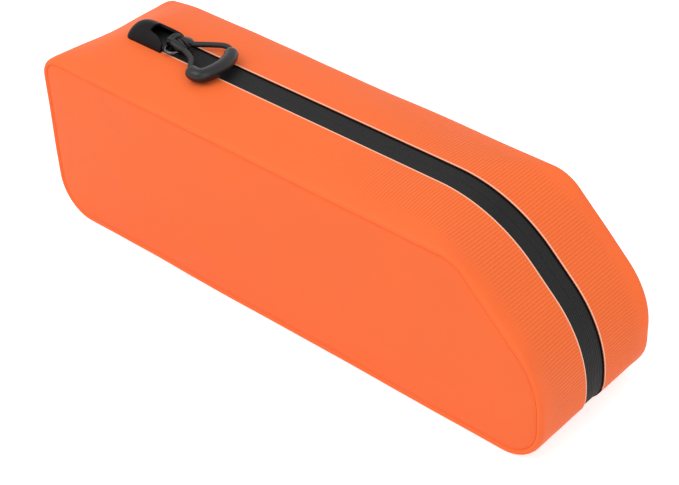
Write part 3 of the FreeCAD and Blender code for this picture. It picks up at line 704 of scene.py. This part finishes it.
def fabric_material():
    """Coated fabric: a fine weave under the coating, faint patches, ribs drawn with painted shade and
    painted highlight, a pale cut edge, and painted shade down the cut and under the hood.
    """
    if "Coated fabric" in bpy.data.materials:
        return bpy.data.materials["Coated fabric"]
    colours = bpy.context.scene.pouch_colours
    sizes = bpy.context.scene.pouch_sizes
    material, tree, shader = new_material(
        "Coated fabric", Roughness=0.55, Specular_IOR_Level=0.18
    )
    uv = tree.nodes.new("ShaderNodeUVMap")
    where = tree.nodes.new("ShaderNodeTexCoord")
    grain = place_group(tree, grain_group(), (where, "Object"), Grain_Scale=2600.0, Patch_Scale=34.0)
    weave = place_group(tree, weave_group(), (uv, "UV"), Threads=1300.0)
    ribs = add_node(tree, "ShaderNodeAttribute", attribute_name="ribs")
    edge = add_node(tree, "ShaderNodeAttribute", attribute_name="cut_edge_and_shade")
    way = add_node(tree, "ShaderNodeAttribute", attribute_name="rib_way")
    turns = math_node(tree, "MULTIPLY", (way, "Fac"), 2 * math.pi / sizes.rib_pitch)
    wave = math_node(tree, "SINE", (turns, 0), None)
    rib_height = math_node(tree, "MULTIPLY", (wave, 0), (ribs, "Fac"))
    patchy = mix_colours(
        tree,
        remap(tree, (grain, "Patch"), 0.3, 0.7, 0, 1),
        scaled(colours.fabric, 0.965),
        scaled(colours.fabric, 1.03),
    )
    # Painted shade in the ribs' troughs and painted highlight on their crests: the colour follows the
    # ribs' wave
    ribbed = mix_colours(
        tree,
        remap(tree, (rib_height, 0), -1, 1, 0, 1),
        scaled(colours.fabric, 0.80),
        scaled(colours.fabric, 1.16),
    )
    cloth = mix_colours(tree, remap(tree, (ribs, "Fac"), 0, 1, 0, 0.65), patchy, ribbed)
    pale = mix_colours(tree, (edge, "Fac"), cloth, tuple(colours.fabric_edge))
    # Painted shade: where the cut edge mark is under 0, down the cut's wall and under the hood, the
    # colour goes to the tape's black
    inside = remap(tree, (edge, "Fac"), -0.1, -0.6, 0, 1)
    base_colour = mix_colours(tree, inside, pale, tuple(colours.tape))
    link(tree, *base_colour, shader, "Base Color")
    link(tree, *remap(tree, (grain, "Patch"), 0.3, 0.7, 0.47, 0.58), shader, "Roughness")
    fine = bump(tree, (weave, "Height"), 0.00003, 0.5)
    grainy = bump(tree, (grain, "Height"), 0.00002, 0.4, fine)
    ribbed_normal = bump(tree, (rib_height, 0), 0.00007, 0.8, grainy)
    link(tree, ribbed_normal, "Normal", shader, "Normal")
    return material


def plain_material(name, base, roughness, grain_scale, grain_depth, patch=0.12, **values):
    """A finish with a fine grain, faint patches and uneven gloss."""
    if name in bpy.data.materials:
        return bpy.data.materials[name]
    material, tree, shader = new_material(name, **values)
    where = tree.nodes.new("ShaderNodeTexCoord")
    grain = place_group(
        tree, grain_group(), (where, "Object"), Grain_Scale=grain_scale, Patch_Scale=140.0
    )
    level = remap(tree, (grain, "Patch"), 0.3, 0.7, 0, 1)
    base_colour = mix_colours(tree, level, scaled(base, 1 - patch), scaled(base, 1 + patch))
    link(tree, *base_colour, shader, "Base Color")
    rough = remap(tree, (grain, "Patch"), 0.3, 0.7, roughness - 0.06, roughness + 0.06)
    link(tree, *rough, shader, "Roughness")
    link(tree, bump(tree, (grain, "Height"), grain_depth, 0.6), "Normal", shader, "Normal")
    return material


def woven_material(name, base, threads, depth, roughness):
    """Cloth whose threads show in its surface, and in its colour as painted highlight on the raised
    threads and painted shade between them.
    """
    if name in bpy.data.materials:
        return bpy.data.materials[name]
    material, tree, shader = new_material(name, Roughness=roughness)
    uv = tree.nodes.new("ShaderNodeUVMap")
    weave = place_group(tree, weave_group(), (uv, "UV"), Threads=threads)
    # Painted highlight and painted shade: the colour follows the threads' height, lighter where they
    # rise and darker between them
    base_colour = mix_colours(tree, (weave, "Height"), scaled(base, 0.7), scaled(base, 1.25))
    link(tree, *base_colour, shader, "Base Color")
    link(tree, bump(tree, (weave, "Height"), depth, 0.7), "Normal", shader, "Normal")
    return material


def cord_material():
    """The cord's black finish, shared by the knot."""
    return plain_material(
        "Cord",
        bpy.context.scene.pouch_colours.cord,
        roughness=0.55,
        grain_scale=2600.0,
        grain_depth=0.00012,
        patch=0.3,
        Specular_IOR_Level=0.45,
    )


# Operators, one for each piece or group of like pieces

class POUCH_OT_cord(bpy.types.Operator):
    """Add the pull's cord on its route"""

    bl_idname = "pouch.cord"
    bl_label = "Cord"

    def execute(self, context):
        sizes = context.scene.pouch_sizes
        curve = bpy.data.curves.new("pull_cord_line", "CURVE")
        curve.dimensions = "3D"
        spline = curve.splines.new("NURBS")
        spline.points.add(len(CORD_ROUTE) - 1)
        for point, place in zip(spline.points, CORD_ROUTE):
            point.co = (*place, 1)
        spline.order_u = 3
        spline.use_endpoint_u = True
        spline.resolution_u = 10
        curve.bevel_depth = sizes.cord / 2
        curve.bevel_resolution = 6
        curve.use_fill_caps = True
        cord = bpy.data.objects.new("pull_cord_line", curve)
        context.scene.collection.objects.link(cord)
        dress(cord, cord_material())
        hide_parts("pull_cord")
        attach(cord, "pull")
        return {"FINISHED"}


def route_line():
    """Points along the cord's own spline."""
    cord = bpy.data.objects["pull_cord_line"]
    thin = cord.copy()
    thin.data = cord.data.copy()
    thin.data.bevel_depth = 0
    mesh = bpy.data.meshes.new_from_object(thin)
    points = [vertex.co.copy() for vertex in mesh.vertices]
    bpy.data.meshes.remove(mesh)
    bpy.data.objects.remove(thin)
    return points


def smooth_line(places, closed):
    """Points along a smooth spline through a few places."""
    curve = bpy.data.curves.new("line", "CURVE")
    curve.dimensions = "3D"
    spline = curve.splines.new("NURBS")
    spline.points.add(len(places) - 1)
    for point, place in zip(spline.points, places):
        point.co = (*place, 1)
    spline.order_u = 4
    spline.use_cyclic_u = closed
    spline.use_endpoint_u = not closed
    holder = bpy.data.objects.new("line", curve)
    mesh = bpy.data.meshes.new_from_object(holder)
    points = [vertex.co.copy() for vertex in mesh.vertices]
    bpy.data.meshes.remove(mesh)
    bpy.data.objects.remove(holder)
    if closed:
        points.append(points[0].copy())
    return points


def tube_along(name, points, radii, sides=8):
    """A closed tube whose radius changes from point to point."""
    start_fresh()
    curve = bpy.data.curves.new(name, "CURVE")
    curve.dimensions = "3D"
    spline = curve.splines.new("POLY")
    spline.points.add(len(points) - 1)
    for point, place, radius in zip(spline.points, points, radii):
        point.co = (*place, 1)
        point.radius = radius
    curve.bevel_depth = 1
    curve.bevel_resolution = sides
    curve.use_fill_caps = True
    piece = bpy.data.objects.new(name, curve)
    bpy.context.scene.collection.objects.link(piece)
    only(piece)
    bpy.ops.object.convert(target="MESH")
    piece = named(name)
    merge_doubles(piece)
    return piece


class POUCH_OT_grip(bpy.types.Operator):
    """Add the moulded grip round the middle of the cord"""

    bl_idname = "pouch.grip"
    bl_label = "Grip"

    def execute(self, context):
        sizes = context.scene.pouch_sizes
        colours = context.scene.pouch_colours
        line = route_line()
        nearest = []
        for x, y in (GRIP_START, GRIP_END):
            gaps = [math.hypot(p.x - x, p.y - y) for p in line]
            nearest.append(gaps.index(min(gaps)))
        points = line[nearest[0]:nearest[1] + 1]
        travel = [0.0]
        for before, after in zip(points, points[1:]):
            travel.append(travel[-1] + (after - before).length)
        full = sizes.grip / 2
        rounding = 0.0011
        radii = []
        for way in travel:
            from_end = min(way, travel[-1] - way)
            rest = 1 - min(from_end / rounding, 1)
            radii.append(full - rounding + rounding * math.sqrt(max(1 - rest * rest, 0)))
        grip = tube_along("pull_grip_body", points, radii, 12)
        # The parting line along the grip's inner upper side, shares of the grip's radius in and up
        ridge_in, ridge_up = 0.64, 0.74
        ridge_radius = 0.00022
        trim = 4
        middle = (points[0] + points[-1]) / 2
        ridge = []
        for before, point, after in zip(points[trim - 1:], points[trim:-trim], points[trim + 1:]):
            inner = (after - before).cross(Vector((0, 0, 1))).normalized()
            if inner.dot(middle - point) < 0:
                inner.negate()
            ridge.append(point + inner * full * ridge_in + Vector((0, 0, full * ridge_up)))
        line = tube_along("parting_line", ridge, [ridge_radius] * len(ridge), 4)
        only(grip)
        line.select_set(True)
        bpy.ops.object.join()
        smooth(grip, 50)
        material = plain_material(
            "Grip rubber",
            colours.grip,
            roughness=0.34,
            grain_scale=1800.0,
            grain_depth=0.00001,
            patch=0.1,
            Specular_IOR_Level=0.4,
        )
        dress(grip, material)
        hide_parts("pull_grip")
        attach(grip, "pull")
        return {"FINISHED"}


class POUCH_OT_knot(bpy.types.Operator):
    """Wrap the cord round the bail's front bar, with a slanting hitch over it"""

    bl_idname = "pouch.knot"
    bl_label = "Knot"

    def execute(self, context):
        sizes = context.scene.pouch_sizes
        thick = sizes.wrap / 2
        strands = []
        for across, lean in KNOT_LOOPS:
            strands.append([(x, across + lean * (x - KNOT_MIDDLE), z) for x, z in KNOT_LOOP])
        for turn in range(sizes.wraps):
            strands.append(self.round_strand(turn))
        wraps = None
        for places in strands:
            line = smooth_line(places, True)
            loop = tube_along("pull_knot_wraps", line, [thick] * len(line), 5)
            if wraps:
                only(wraps)
                loop.select_set(True)
                bpy.ops.object.join()
            else:
                wraps = loop
        tails = []
        for number, points in enumerate(KNOT_TAILS):
            line = smooth_line(points, False)
            radii = [sizes.cord * TAIL_SHARE] * len(line)
            tails.append(tube_along("pull_knot_tail_%d" % number, line, radii))
        material = cord_material()
        for piece in (wraps, *tails):
            smooth(piece, 60)
            dress(piece, material)
        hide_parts("pull_knot")
        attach(wraps, "bail")
        for tail in tails:
            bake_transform(tail)
        return {"FINISHED"}

    def round_strand(self, turn):
        """A slanting turn of cord round the knot's loops, behind the turns before it."""
        middle_x, middle_y, middle_z = STRAND_MIDDLE
        x = middle_x - STRAND_SETBACK * turn
        places = []
        for step in range(STRAND_POINTS):
            angle = 2 * math.pi * step / STRAND_POINTS + STRAND_TWIST * turn
            y = middle_y + STRAND_HALF_WIDTH * math.cos(angle)
            z = middle_z + STRAND_HALF_HEIGHT * math.sin(angle)
            places.append((x + STRAND_LEAN * y + STRAND_LEAN * (z - middle_z), y, z))
        return places


class POUCH_OT_side_panels(bpy.types.Operator):
    """Add the two side panels with the edges that dip into the side seams"""

    bl_idname = "pouch.side_panels"
    bl_label = "Side Panels"

    def execute(self, context):
        sizes = context.scene.pouch_sizes
        form = Form()
        start_fresh()
        bpy.ops.mesh.primitive_circle_add(vertices=form.count, radius=1, fill_type="NGON")
        panel = named("right_panel_cloth")
        inset, sink = (value * MM for value in PANEL_SECTION[0])
        for vertex in panel.data.vertices:
            spot = form.side[vertex.index] - form.side_out[vertex.index] * (inset - sizes.fullness)
            vertex.co = (spot.x, sink - sizes.width / 2 - sizes.fullness, spot.y)
        panel.data.update()
        only(panel)
        bpy.ops.object.mode_set(mode="EDIT")
        bpy.ops.mesh.select_mode(type="FACE")
        bpy.ops.mesh.select_all(action="SELECT")
        if panel.data.polygons[0].normal.y > 0:
            bpy.ops.mesh.flip_normals()
        for before, after in zip(PANEL_SECTION, PANEL_SECTION[1:]):
            bpy.ops.mesh.inset(
                thickness=(after[0] - before[0]) * MM,
                depth=(before[1] - after[1]) * MM,
                use_even_offset=True,
            )
        spacing = 0.006
        for axis, length in ((0, sizes.length), (2, 2 * sizes.height)):
            steps = int(length / spacing)
            for step in range(1, steps):
                place = Vector((0, 0, 0))
                place[axis] = step * length / steps - length / 2
                normal = Vector((0, 0, 0))
                normal[axis] = 1
                if axis == 2 and not 0 < place.z < sizes.height:
                    continue
                bpy.ops.mesh.bisect(plane_co=place, plane_no=normal)
                self.select_inner(panel, sizes)
        bpy.ops.object.mode_set(mode="OBJECT")
        only(panel)
        bpy.ops.object.duplicate()
        other = named("left_panel_cloth")
        bpy.ops.object.mode_set(mode="EDIT")
        bpy.ops.mesh.select_all(action="SELECT")
        bpy.ops.transform.resize(value=(1, -1, 1), center_override=(0, 0, 0))
        bpy.ops.mesh.flip_normals()
        bpy.ops.object.mode_set(mode="OBJECT")
        material = fabric_material()
        for piece, node, side in ((panel, "right_side_panel", -1), (other, "left_side_panel", 1)):
            layer = piece.data.uv_layers.new(name="UVMap")
            for loop in piece.data.loops:
                co = piece.data.vertices[loop.vertex_index].co
                layer.data[loop.index].uv = (co.x, co.z)
            for vertex in piece.data.vertices:
                puff = smoothstep(0.004, 0.028, form.panel_depth(vertex.co.x, vertex.co.z))
                vertex.co.y += side * sizes.panel_puff * puff
                vertex.co = form.sway(vertex.co)
            apply_modifier(piece, "SOLIDIFY", thickness=sizes.skin, offset=-1)
            smooth(piece, 70)
            dress(piece, material)
            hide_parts(node)
            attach(piece, "bag")
        return {"FINISHED"}

    def select_inner(self, panel, sizes):
        """Select the flat inner part of the panel."""
        bpy.ops.object.mode_set(mode="OBJECT")
        flat = PANEL_SECTION[-1][1] * MM - sizes.width / 2 - sizes.fullness
        for face in panel.data.polygons:
            level = all(abs(panel.data.vertices[v].co.y - flat) < MM / 1000 for v in face.vertices)
            face.select = level
        bpy.ops.object.mode_set(mode="EDIT")
        bpy.ops.mesh.select_mode(type="FACE")


class POUCH_OT_gussets(bpy.types.Operator):
    """Add the two fabric strips between the side panels, with the opening for the zip"""

    bl_idname = "pouch.gussets"
    bl_label = "Gussets"

    def execute(self, context):
        sizes = context.scene.pouch_sizes
        form = Form()
        half = sizes.width / 2
        slot = sizes.band_width / 2
        edge = [(inset * MM, half + sizes.fullness - inward * MM) for inset, inward in BEAD_SECTION]
        level = edge[-1][1]
        steps = 9
        flat = [(0.0, level + (slot - level) * step / steps) for step in range(1, steps + 1)]
        near_slot = [(0.0, slot + share * CUT_EDGE) for share in (3, 1.6, 1)]
        flat[-1:] = near_slot + flat[-1:]
        side = edge + flat
        section = side + [(0.0, 0.0)] + [(inset, -y) for inset, y in reversed(side)]
        reach = [0.0]
        for before, after in zip(section, section[1:]):
            reach.append(reach[-1] + math.dist(before, after))

        def placed(row, column):
            inset, y = section[column]
            return form.place(row, y, inset)

        def mapped(row, column):
            return form.travel[row], reach[column]

        strip = grid_over("zip_gusset_cloth", form.count, len(section) - 1, placed, mapped)
        merge_doubles(strip)

        def in_slot(face):
            x, y, z = face.center
            if abs(y) > slot:
                return False
            over_top = z > sizes.height / 2 and x > SLOT_REAR
            down_nose = x > SLOT_NOSE and z > SLOT_FOOT
            return over_top or down_nose

        select_faces(strip, in_slot)
        bpy.ops.mesh.delete(type="FACE")

        def in_base(face):
            return face.center.x < BASE_FRONT and face.center.z < BASE_TOP

        select_faces(strip, in_base)
        bpy.ops.mesh.separate(type="SELECTED")
        bpy.ops.object.mode_set(mode="OBJECT")
        base = [piece for piece in context.selected_objects if piece != strip][0]
        base.name = "base_gusset_cloth"
        base.data.name = "base_gusset_cloth"

        def near_cut(co):
            """1 on the pale cut edge along the opening; under 0 for painted shade down the cut's wall
            and under the hood.
            """
            # The negative value marks painted shade on the cut's wall and on the fabric under the hood
            pale, slot_shade, plain = 1.0, -3.0, 0.0
            if abs(co.y) < slot + 2 * CUT_EDGE and HOOD_COVER[0] < co.x < HOOD_COVER[1]:
                return slot_shade
            beside = abs(abs(co.y) - slot) < 1.2 * CUT_EDGE
            if not beside or co.x < CUT_REAR or co.z < CUT_FOOT:
                return plain
            return pale if form.locate(co.x, co.z)[1] > -sizes.skin / 3 else slot_shade

        material = fabric_material()
        for piece, node in ((strip, "zip_gusset"), (base, "base_gusset")):
            apply_modifier(piece, "SOLIDIFY", thickness=sizes.skin, offset=-1)
            mark(piece, "ribs", self.ribs)
            mark(piece, "rib_way", lambda co: form.locate(co.x, co.z)[0] if self.ribs(co) else 0.0)
            mark(piece, "cut_edge_and_shade", near_cut if piece is strip else lambda co: 0.0)
            smooth(piece, 50)
            dress(piece, material)
            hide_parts(node)
            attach(piece, "bag")
        return {"FINISHED"}

    def ribs(self, co):
        """The ribs show on the front half of the top and on the nose, away from the seams."""
        along = smoothstep(-0.02, 0.05, co.x) * smoothstep(0.006, 0.02, co.z)
        across = 1 - smoothstep(0.020, 0.027, abs(co.y))
        return along * across


class POUCH_OT_zip_tapes(bpy.types.Operator):
    """Add the two ribbed halves of the zip"""

    bl_idname = "pouch.zip_tapes"
    bl_label = "Zip Tapes"

    def execute(self, context):
        sizes = context.scene.pouch_sizes
        colours = context.scene.pouch_colours
        form = Form()
        slot = sizes.band_width / 2
        rows = self.rows(form)
        section = self.section(sizes, slot)
        material = self.material(colours)
        for node, sign in (("right_zip_tape", -1), ("left_zip_tape", 1)):
            half = section if sign < 0 else section[::-1]

            def placed(row, column):
                y, depth = half[column]
                return form.place(rows[row], sign * y, sizes.skin + depth)

            def mapped(row, column):
                return form.travel[rows[row]], sign * half[column][0]

            tape = grid_over(node + "_ribbed", len(rows) - 1, len(half) - 1, placed, mapped)
            apply_modifier(tape, "SOLIDIFY", thickness=TAPE_THICKNESS, offset=-1)
            smooth(tape, 60)
            dress(tape, material)
            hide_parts(node)
            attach(tape, "bag")
        return {"FINISHED"}

    def rows(self, form):
        """The rows of the pouch's form from the nose's foot over the top to the hood."""
        rows = []
        for index in range(form.count):
            spot = form.middle[index]
            up_nose = spot.x > TAPE_NOSE and TAPE_FOOT < spot.y < TAPE_TURN
            over_top = spot.y >= TAPE_TURN and spot.x > TAPE_REAR
            if up_nose or over_top:
                rows.append(index)
        return rows

    def section(self, sizes, slot):
        """From the middle slit outwards: the distance from the middle and the depth."""
        rise = sizes.tape_rise
        section = [(y, depth - rise) for y, depth in TAPE_SLIT]
        step = sizes.tape_rib / 6
        y = RIBS_START
        while y < slot - RIBS_STOP:
            wave = 0.5 + 0.5 * math.cos(2 * math.pi * (y - RIBS_START) / sizes.tape_rib)
            section.append((y, sizes.tape_rib_height * (1 - wave) - rise))
            y += step
        section.append((slot + GROOVE_SHOULDER, -0.5 * rise))
        section += [(slot + way, depth) for way, depth in TAPE_GROOVE]
        section.append((sizes.tape_reach, TAPE_HEM_DEPTH))
        return section

    def material(self, colours):
        """Rubbery black coating: soft gloss along the ribs over a fine cloth grain."""
        material, tree, shader = new_material("Zip tape", Specular_IOR_Level=0.2)
        uv = tree.nodes.new("ShaderNodeUVMap")
        where = tree.nodes.new("ShaderNodeTexCoord")
        grain = place_group(tree, grain_group(), (where, "Object"), Grain_Scale=2200.0, Patch_Scale=90.0)
        weave = place_group(tree, weave_group(), (uv, "UV"), Threads=1700.0)
        level = remap(tree, (grain, "Patch"), 0.3, 0.7, 0, 1)
        base_colour = mix_colours(tree, level, scaled(colours.tape, 0.85), scaled(colours.tape, 1.2))
        link(tree, *base_colour, shader, "Base Color")
        link(tree, *remap(tree, (grain, "Patch"), 0.3, 0.7, 0.42, 0.55), shader, "Roughness")
        fine = bump(tree, (weave, "Height"), 0.00004, 0.6)
        link(tree, bump(tree, (grain, "Height"), 0.00003, 0.4, fine), "Normal", shader, "Normal")
        return material


class POUCH_OT_rigid_parts(bpy.types.Operator):
    """Finish the hood, slider, bail, coils and end stops"""

    bl_idname = "pouch.rigid_parts"
    bl_label = "Rigid Parts"

    def execute(self, context):
        colours = context.scene.pouch_colours
        hood = plain_material(
            "Hood plastic", colours.hood, 0.48, 2400.0, 0.00002, Specular_IOR_Level=0.11
        )
        slider = plain_material("Slider paint", colours.slider, 0.4, 1500.0, 0.00001, Metallic=0.6)
        wire = plain_material("Bail wire", colours.wire, 0.22, 900.0, 0.000005, 0.06, Metallic=1.0)
        nylon = plain_material("Zip nylon", colours.tape, 0.5, 2000.0, 0.00001)
        self.add_hood(hood)
        self.add_bail(wire)
        dress_node("zip_slider", slider)
        for node in ("right_zip_coil", "left_zip_coil", "nose_end_stop", "rear_end_stop"):
            dress_node(node, nylon)
        return {"FINISHED"}

    def add_hood(self, material):
        """The moulded hood: a blunt dome whose roof notch runs smoothly into its open front."""
        low, high = (Vector(corner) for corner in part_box("zip_garage"))
        half = (high.y - low.y) / 2
        tall = high.z - low.z
        rows, columns = 44, 40
        # How closely the rows crowd at the rear
        crowding = 1.7
        # Lengths over which the rear rounds to the sides and to the roof, and how blunt each is
        rear_round, rear_bluntness = 0.0042, 3.2
        roof_round, roof_bluntness = 0.0098, 2.3
        # Share of the roof's height lost towards the front
        front_fall = 0.05

        def section(share):
            """A Bezier through the half section's corners, at a share of the way over the hood."""
            t = 1 - abs(2 * share - 1)
            points = [Vector(corner) for corner in HOOD_SECTION]
            while len(points) > 1:
                points = [before.lerp(after, t) for before, after in zip(points, points[1:])]
            return points[0]

        def swell(gap, reach, power):
            return (1 - min(max(1 - gap / reach, 0), 1) ** power) ** (1 / power)

        def placed(row, column):
            across, up = section(column / columns)
            side = across * half
            notch = HOOD_NOTCH * (1 - smoothstep(*HOOD_NOTCH_SIDE, side))
            back = notch + HOOD_SETBACK * (1 - smoothstep(*HOOD_SETBACK_SIDE, side))
            gap = (high.x - back - low.x) * (row / rows) ** crowding
            across *= swell(gap, rear_round, rear_bluntness)
            fall = 1 - front_fall * smoothstep(0.45, 1.1, gap / (high.x - low.x))
            up *= swell(gap, roof_round, roof_bluntness) * fall
            sign = -1 if column < columns / 2 else 1
            return Vector((low.x + gap, sign * across * half, low.z + up * tall))

        def mapped(row, column):
            return row / rows, column / columns

        hood = grid_over("zip_hood", rows, columns, placed, mapped)
        merge_doubles(hood)
        only(hood)
        bpy.ops.object.mode_set(mode="EDIT")
        bpy.ops.mesh.select_all(action="SELECT")
        bpy.ops.mesh.normals_make_consistent(inside=False)
        bpy.ops.object.mode_set(mode="OBJECT")
        apply_modifier(hood, "SOLIDIFY", thickness=HOOD_WALL, offset=-1)
        soften_edges(hood, HOOD_EDGE)
        smooth(hood, 45)
        dress(hood, material)
        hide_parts("zip_garage")
        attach(hood, "bag")

    def add_bail(self, material):
        """The wire bail: a rounded loop whose ends turn in to the slider's lug."""
        low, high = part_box("slider_bail")
        level = (low[2] + high[2]) / 2 - BAIL_DROP
        half = [(x, y, level) for x, y in BAIL_HALF]
        line = smooth_line([(x, -y, z) for x, y, z in half] + half[::-1], True)
        bail = tube_along("slider_bail_wire", line, [BAIL_RADIUS] * len(line))
        smooth(bail, 60)
        dress(bail, material)
        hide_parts("slider_bail")
        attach(bail, "bail")


def soft_copy(node, name, rounding):
    """A copy of an inner piece with its doubles merged and its edges softened."""
    start_fresh()
    piece = frame["nodes"][node].copy()
    piece.data = piece.data.copy()
    piece.parent = None
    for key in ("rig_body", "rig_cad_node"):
        if key in piece:
            del piece[key]
    bpy.context.scene.collection.objects.link(piece)
    piece.name = name
    piece.data.name = name
    merge_doubles(piece, 0.00001)
    only(piece)
    bpy.ops.object.mode_set(mode="EDIT")
    bpy.ops.mesh.select_all(action="SELECT")
    bpy.ops.mesh.dissolve_limited(angle_limit=math.radians(2))
    bpy.ops.object.mode_set(mode="OBJECT")
    if rounding:
        soften_edges(piece, rounding)
    # The top slopes down to the back edge, and the inner pieces keep under it
    sizes = bpy.context.scene.pouch_sizes
    for vertex in piece.data.vertices:
        back = smoothstep(0.78, 1.0, -2 * vertex.co.x / sizes.length)
        high = smoothstep(0.6, 1.0, vertex.co.z / sizes.height)
        vertex.co.z -= back * high * (sizes.back_drop + sizes.back_dip)
    layer = piece.data.uv_layers.active or piece.data.uv_layers.new(name="UVMap")
    for loop in piece.data.loops:
        co = piece.data.vertices[loop.vertex_index].co
        layer.data[loop.index].uv = (co.x, co.y + co.z)
    smooth(piece, 40)
    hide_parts(node)
    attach(piece, "bag")
    return piece


class POUCH_OT_inside(bpy.types.Operator):
    """Add the foam boards, the seam tapes and the lining inside the pouch"""

    bl_idname = "pouch.inside"
    bl_label = "Inside"

    def execute(self, context):
        colours = context.scene.pouch_colours
        foam = plain_material("Foam board", colours.foam, 0.9, 1200.0, 0.0002, 0.15)
        seam = plain_material("Seam tape", colours.lining, 0.35, 1500.0, 0.00001)
        cloth = woven_material("Lining cloth", colours.lining, 1800.0, 0.00005, 0.7)
        for node in ("right_side_foam", "left_side_foam", "base_foam", "back_foam"):
            board = soft_copy(node, node + "_board", 0.0004)
            dress(board, foam)
        for node in ("right_seam_tape", "left_seam_tape"):
            dress(soft_copy(node, node + "_strip", 0), seam)
        dress(soft_copy("lining", "lining_bag", 0), cloth)
        return {"FINISHED"}


class POUCH_OT_stage(bpy.types.Operator):
    """Add the camera, the floor, the lights and the background"""

    bl_idname = "pouch.stage"
    bl_label = "Stage"

    def execute(self, context):
        scene = context.scene
        scene.view_settings.view_transform = "Standard"
        camera_data = bpy.data.cameras.new("camera")
        camera_data.sensor_width = 36
        camera_data.lens = CAMERA_LENS
        camera_data.clip_end = 50
        camera = bpy.data.objects.new("camera", camera_data)
        camera.location = CAMERA_PLACE
        camera.rotation_euler = [math.radians(angle) for angle in CAMERA_TURN]
        scene.collection.objects.link(camera)
        scene.camera = camera
        self.add_floor(context)
        self.add_world(scene)
        self.add_lamp("key", *KEY_LAMP)
        self.add_lamp("fill", *FILL_LAMP)
        return {"FINISHED"}

    def seen_rays(self, tree):
        """Counts the kinds of ray that the camera sees straight, in a gloss or through glass."""
        path = tree.nodes.new("ShaderNodeLightPath")
        seen = math_node(tree, "ADD", (path, "Is Camera Ray"), (path, "Is Glossy Ray"))
        return math_node(tree, "ADD", (seen, 0), (path, "Is Transmission Ray"))

    def add_floor(self, context):
        start_fresh()
        bpy.ops.mesh.primitive_plane_add(size=8, location=(0, 0, 1.5 * FOOT))
        floor = named("floor")
        bpy.ops.object.transform_apply(location=True, rotation=True, scale=True)
        material, tree, shader = new_material("floor", Roughness=0.9)
        shader.inputs["Base Color"].default_value = (*context.scene.pouch_colours.floor, 1)
        lift = math_node(tree, "MULTIPLY", (self.seen_rays(tree), 0), FLOOR_LIFT)
        shader.inputs["Emission Color"].default_value = (1, 1, 1, 1)
        link(tree, lift, 0, shader, "Emission Strength")
        floor.data.materials.append(material)

    def add_world(self, scene):
        world = scene.world or bpy.data.worlds.new("world")
        scene.world = world
        world.use_nodes = True
        tree = world.node_tree
        background = tree.nodes["Background"]
        background.inputs["Color"].default_value = (1, 1, 1, 1)
        seen = math_node(tree, "MINIMUM", (self.seen_rays(tree), 0), 1.0)
        level = math_node(tree, "MULTIPLY_ADD", (seen, 0), WORLD_SEEN)
        level.inputs[2].default_value = WORLD_LEVEL
        link(tree, level, 0, background, "Strength")

    def add_lamp(self, name, place, spread, power):
        data = bpy.data.lights.new(name, "AREA")
        data.size = spread
        data.energy = power
        lamp = bpy.data.objects.new(name, data)
        lamp.location = place
        aim = Vector(LAMP_AIM) - Vector(place)
        lamp.rotation_euler = aim.to_track_quat("-Z", "Y").to_euler()
        bpy.context.scene.collection.objects.link(lamp)


class POUCH_PT_pieces(bpy.types.Panel):
    """Sizes, colours and pieces of the pouch"""

    bl_idname = "POUCH_PT_pieces"
    bl_label = "Pouch"
    bl_space_type = "VIEW_3D"
    bl_region_type = "UI"
    bl_category = "Pouch"

    def draw(self, context):
        for group in (context.scene.pouch_sizes, context.scene.pouch_colours):
            box = self.layout.box()
            for key in group.__annotations__:
                box.prop(group, key)
        for operator in OPERATORS:
            self.layout.operator(operator.bl_idname)


OPERATORS = (
    POUCH_OT_stage,
    POUCH_OT_cord,
    POUCH_OT_grip,
    POUCH_OT_knot,
    POUCH_OT_side_panels,
    POUCH_OT_gussets,
    POUCH_OT_zip_tapes,
    POUCH_OT_rigid_parts,
    POUCH_OT_inside,
)
CLASSES = (PouchSizes, PouchColours, *OPERATORS, POUCH_PT_pieces)


def register():
    for cls in CLASSES:
        bpy.utils.register_class(cls)
    bpy.types.Scene.pouch_sizes = PointerProperty(type=PouchSizes)
    bpy.types.Scene.pouch_colours = PointerProperty(type=PouchColours)


def unregister():
    del bpy.types.Scene.pouch_colours
    del bpy.types.Scene.pouch_sizes
    for cls in reversed(CLASSES):
        bpy.utils.unregister_class(cls)


def main():
    register()
    bpy.ops.pouch.stage()
    bpy.ops.pouch.cord()
    bpy.ops.pouch.grip()
    bpy.ops.pouch.knot()
    bpy.ops.pouch.side_panels()
    bpy.ops.pouch.gussets()
    bpy.ops.pouch.zip_tapes()
    bpy.ops.pouch.rigid_parts()
    bpy.ops.pouch.inside()
    start_fresh()


if __name__ == "__main__":
    main()
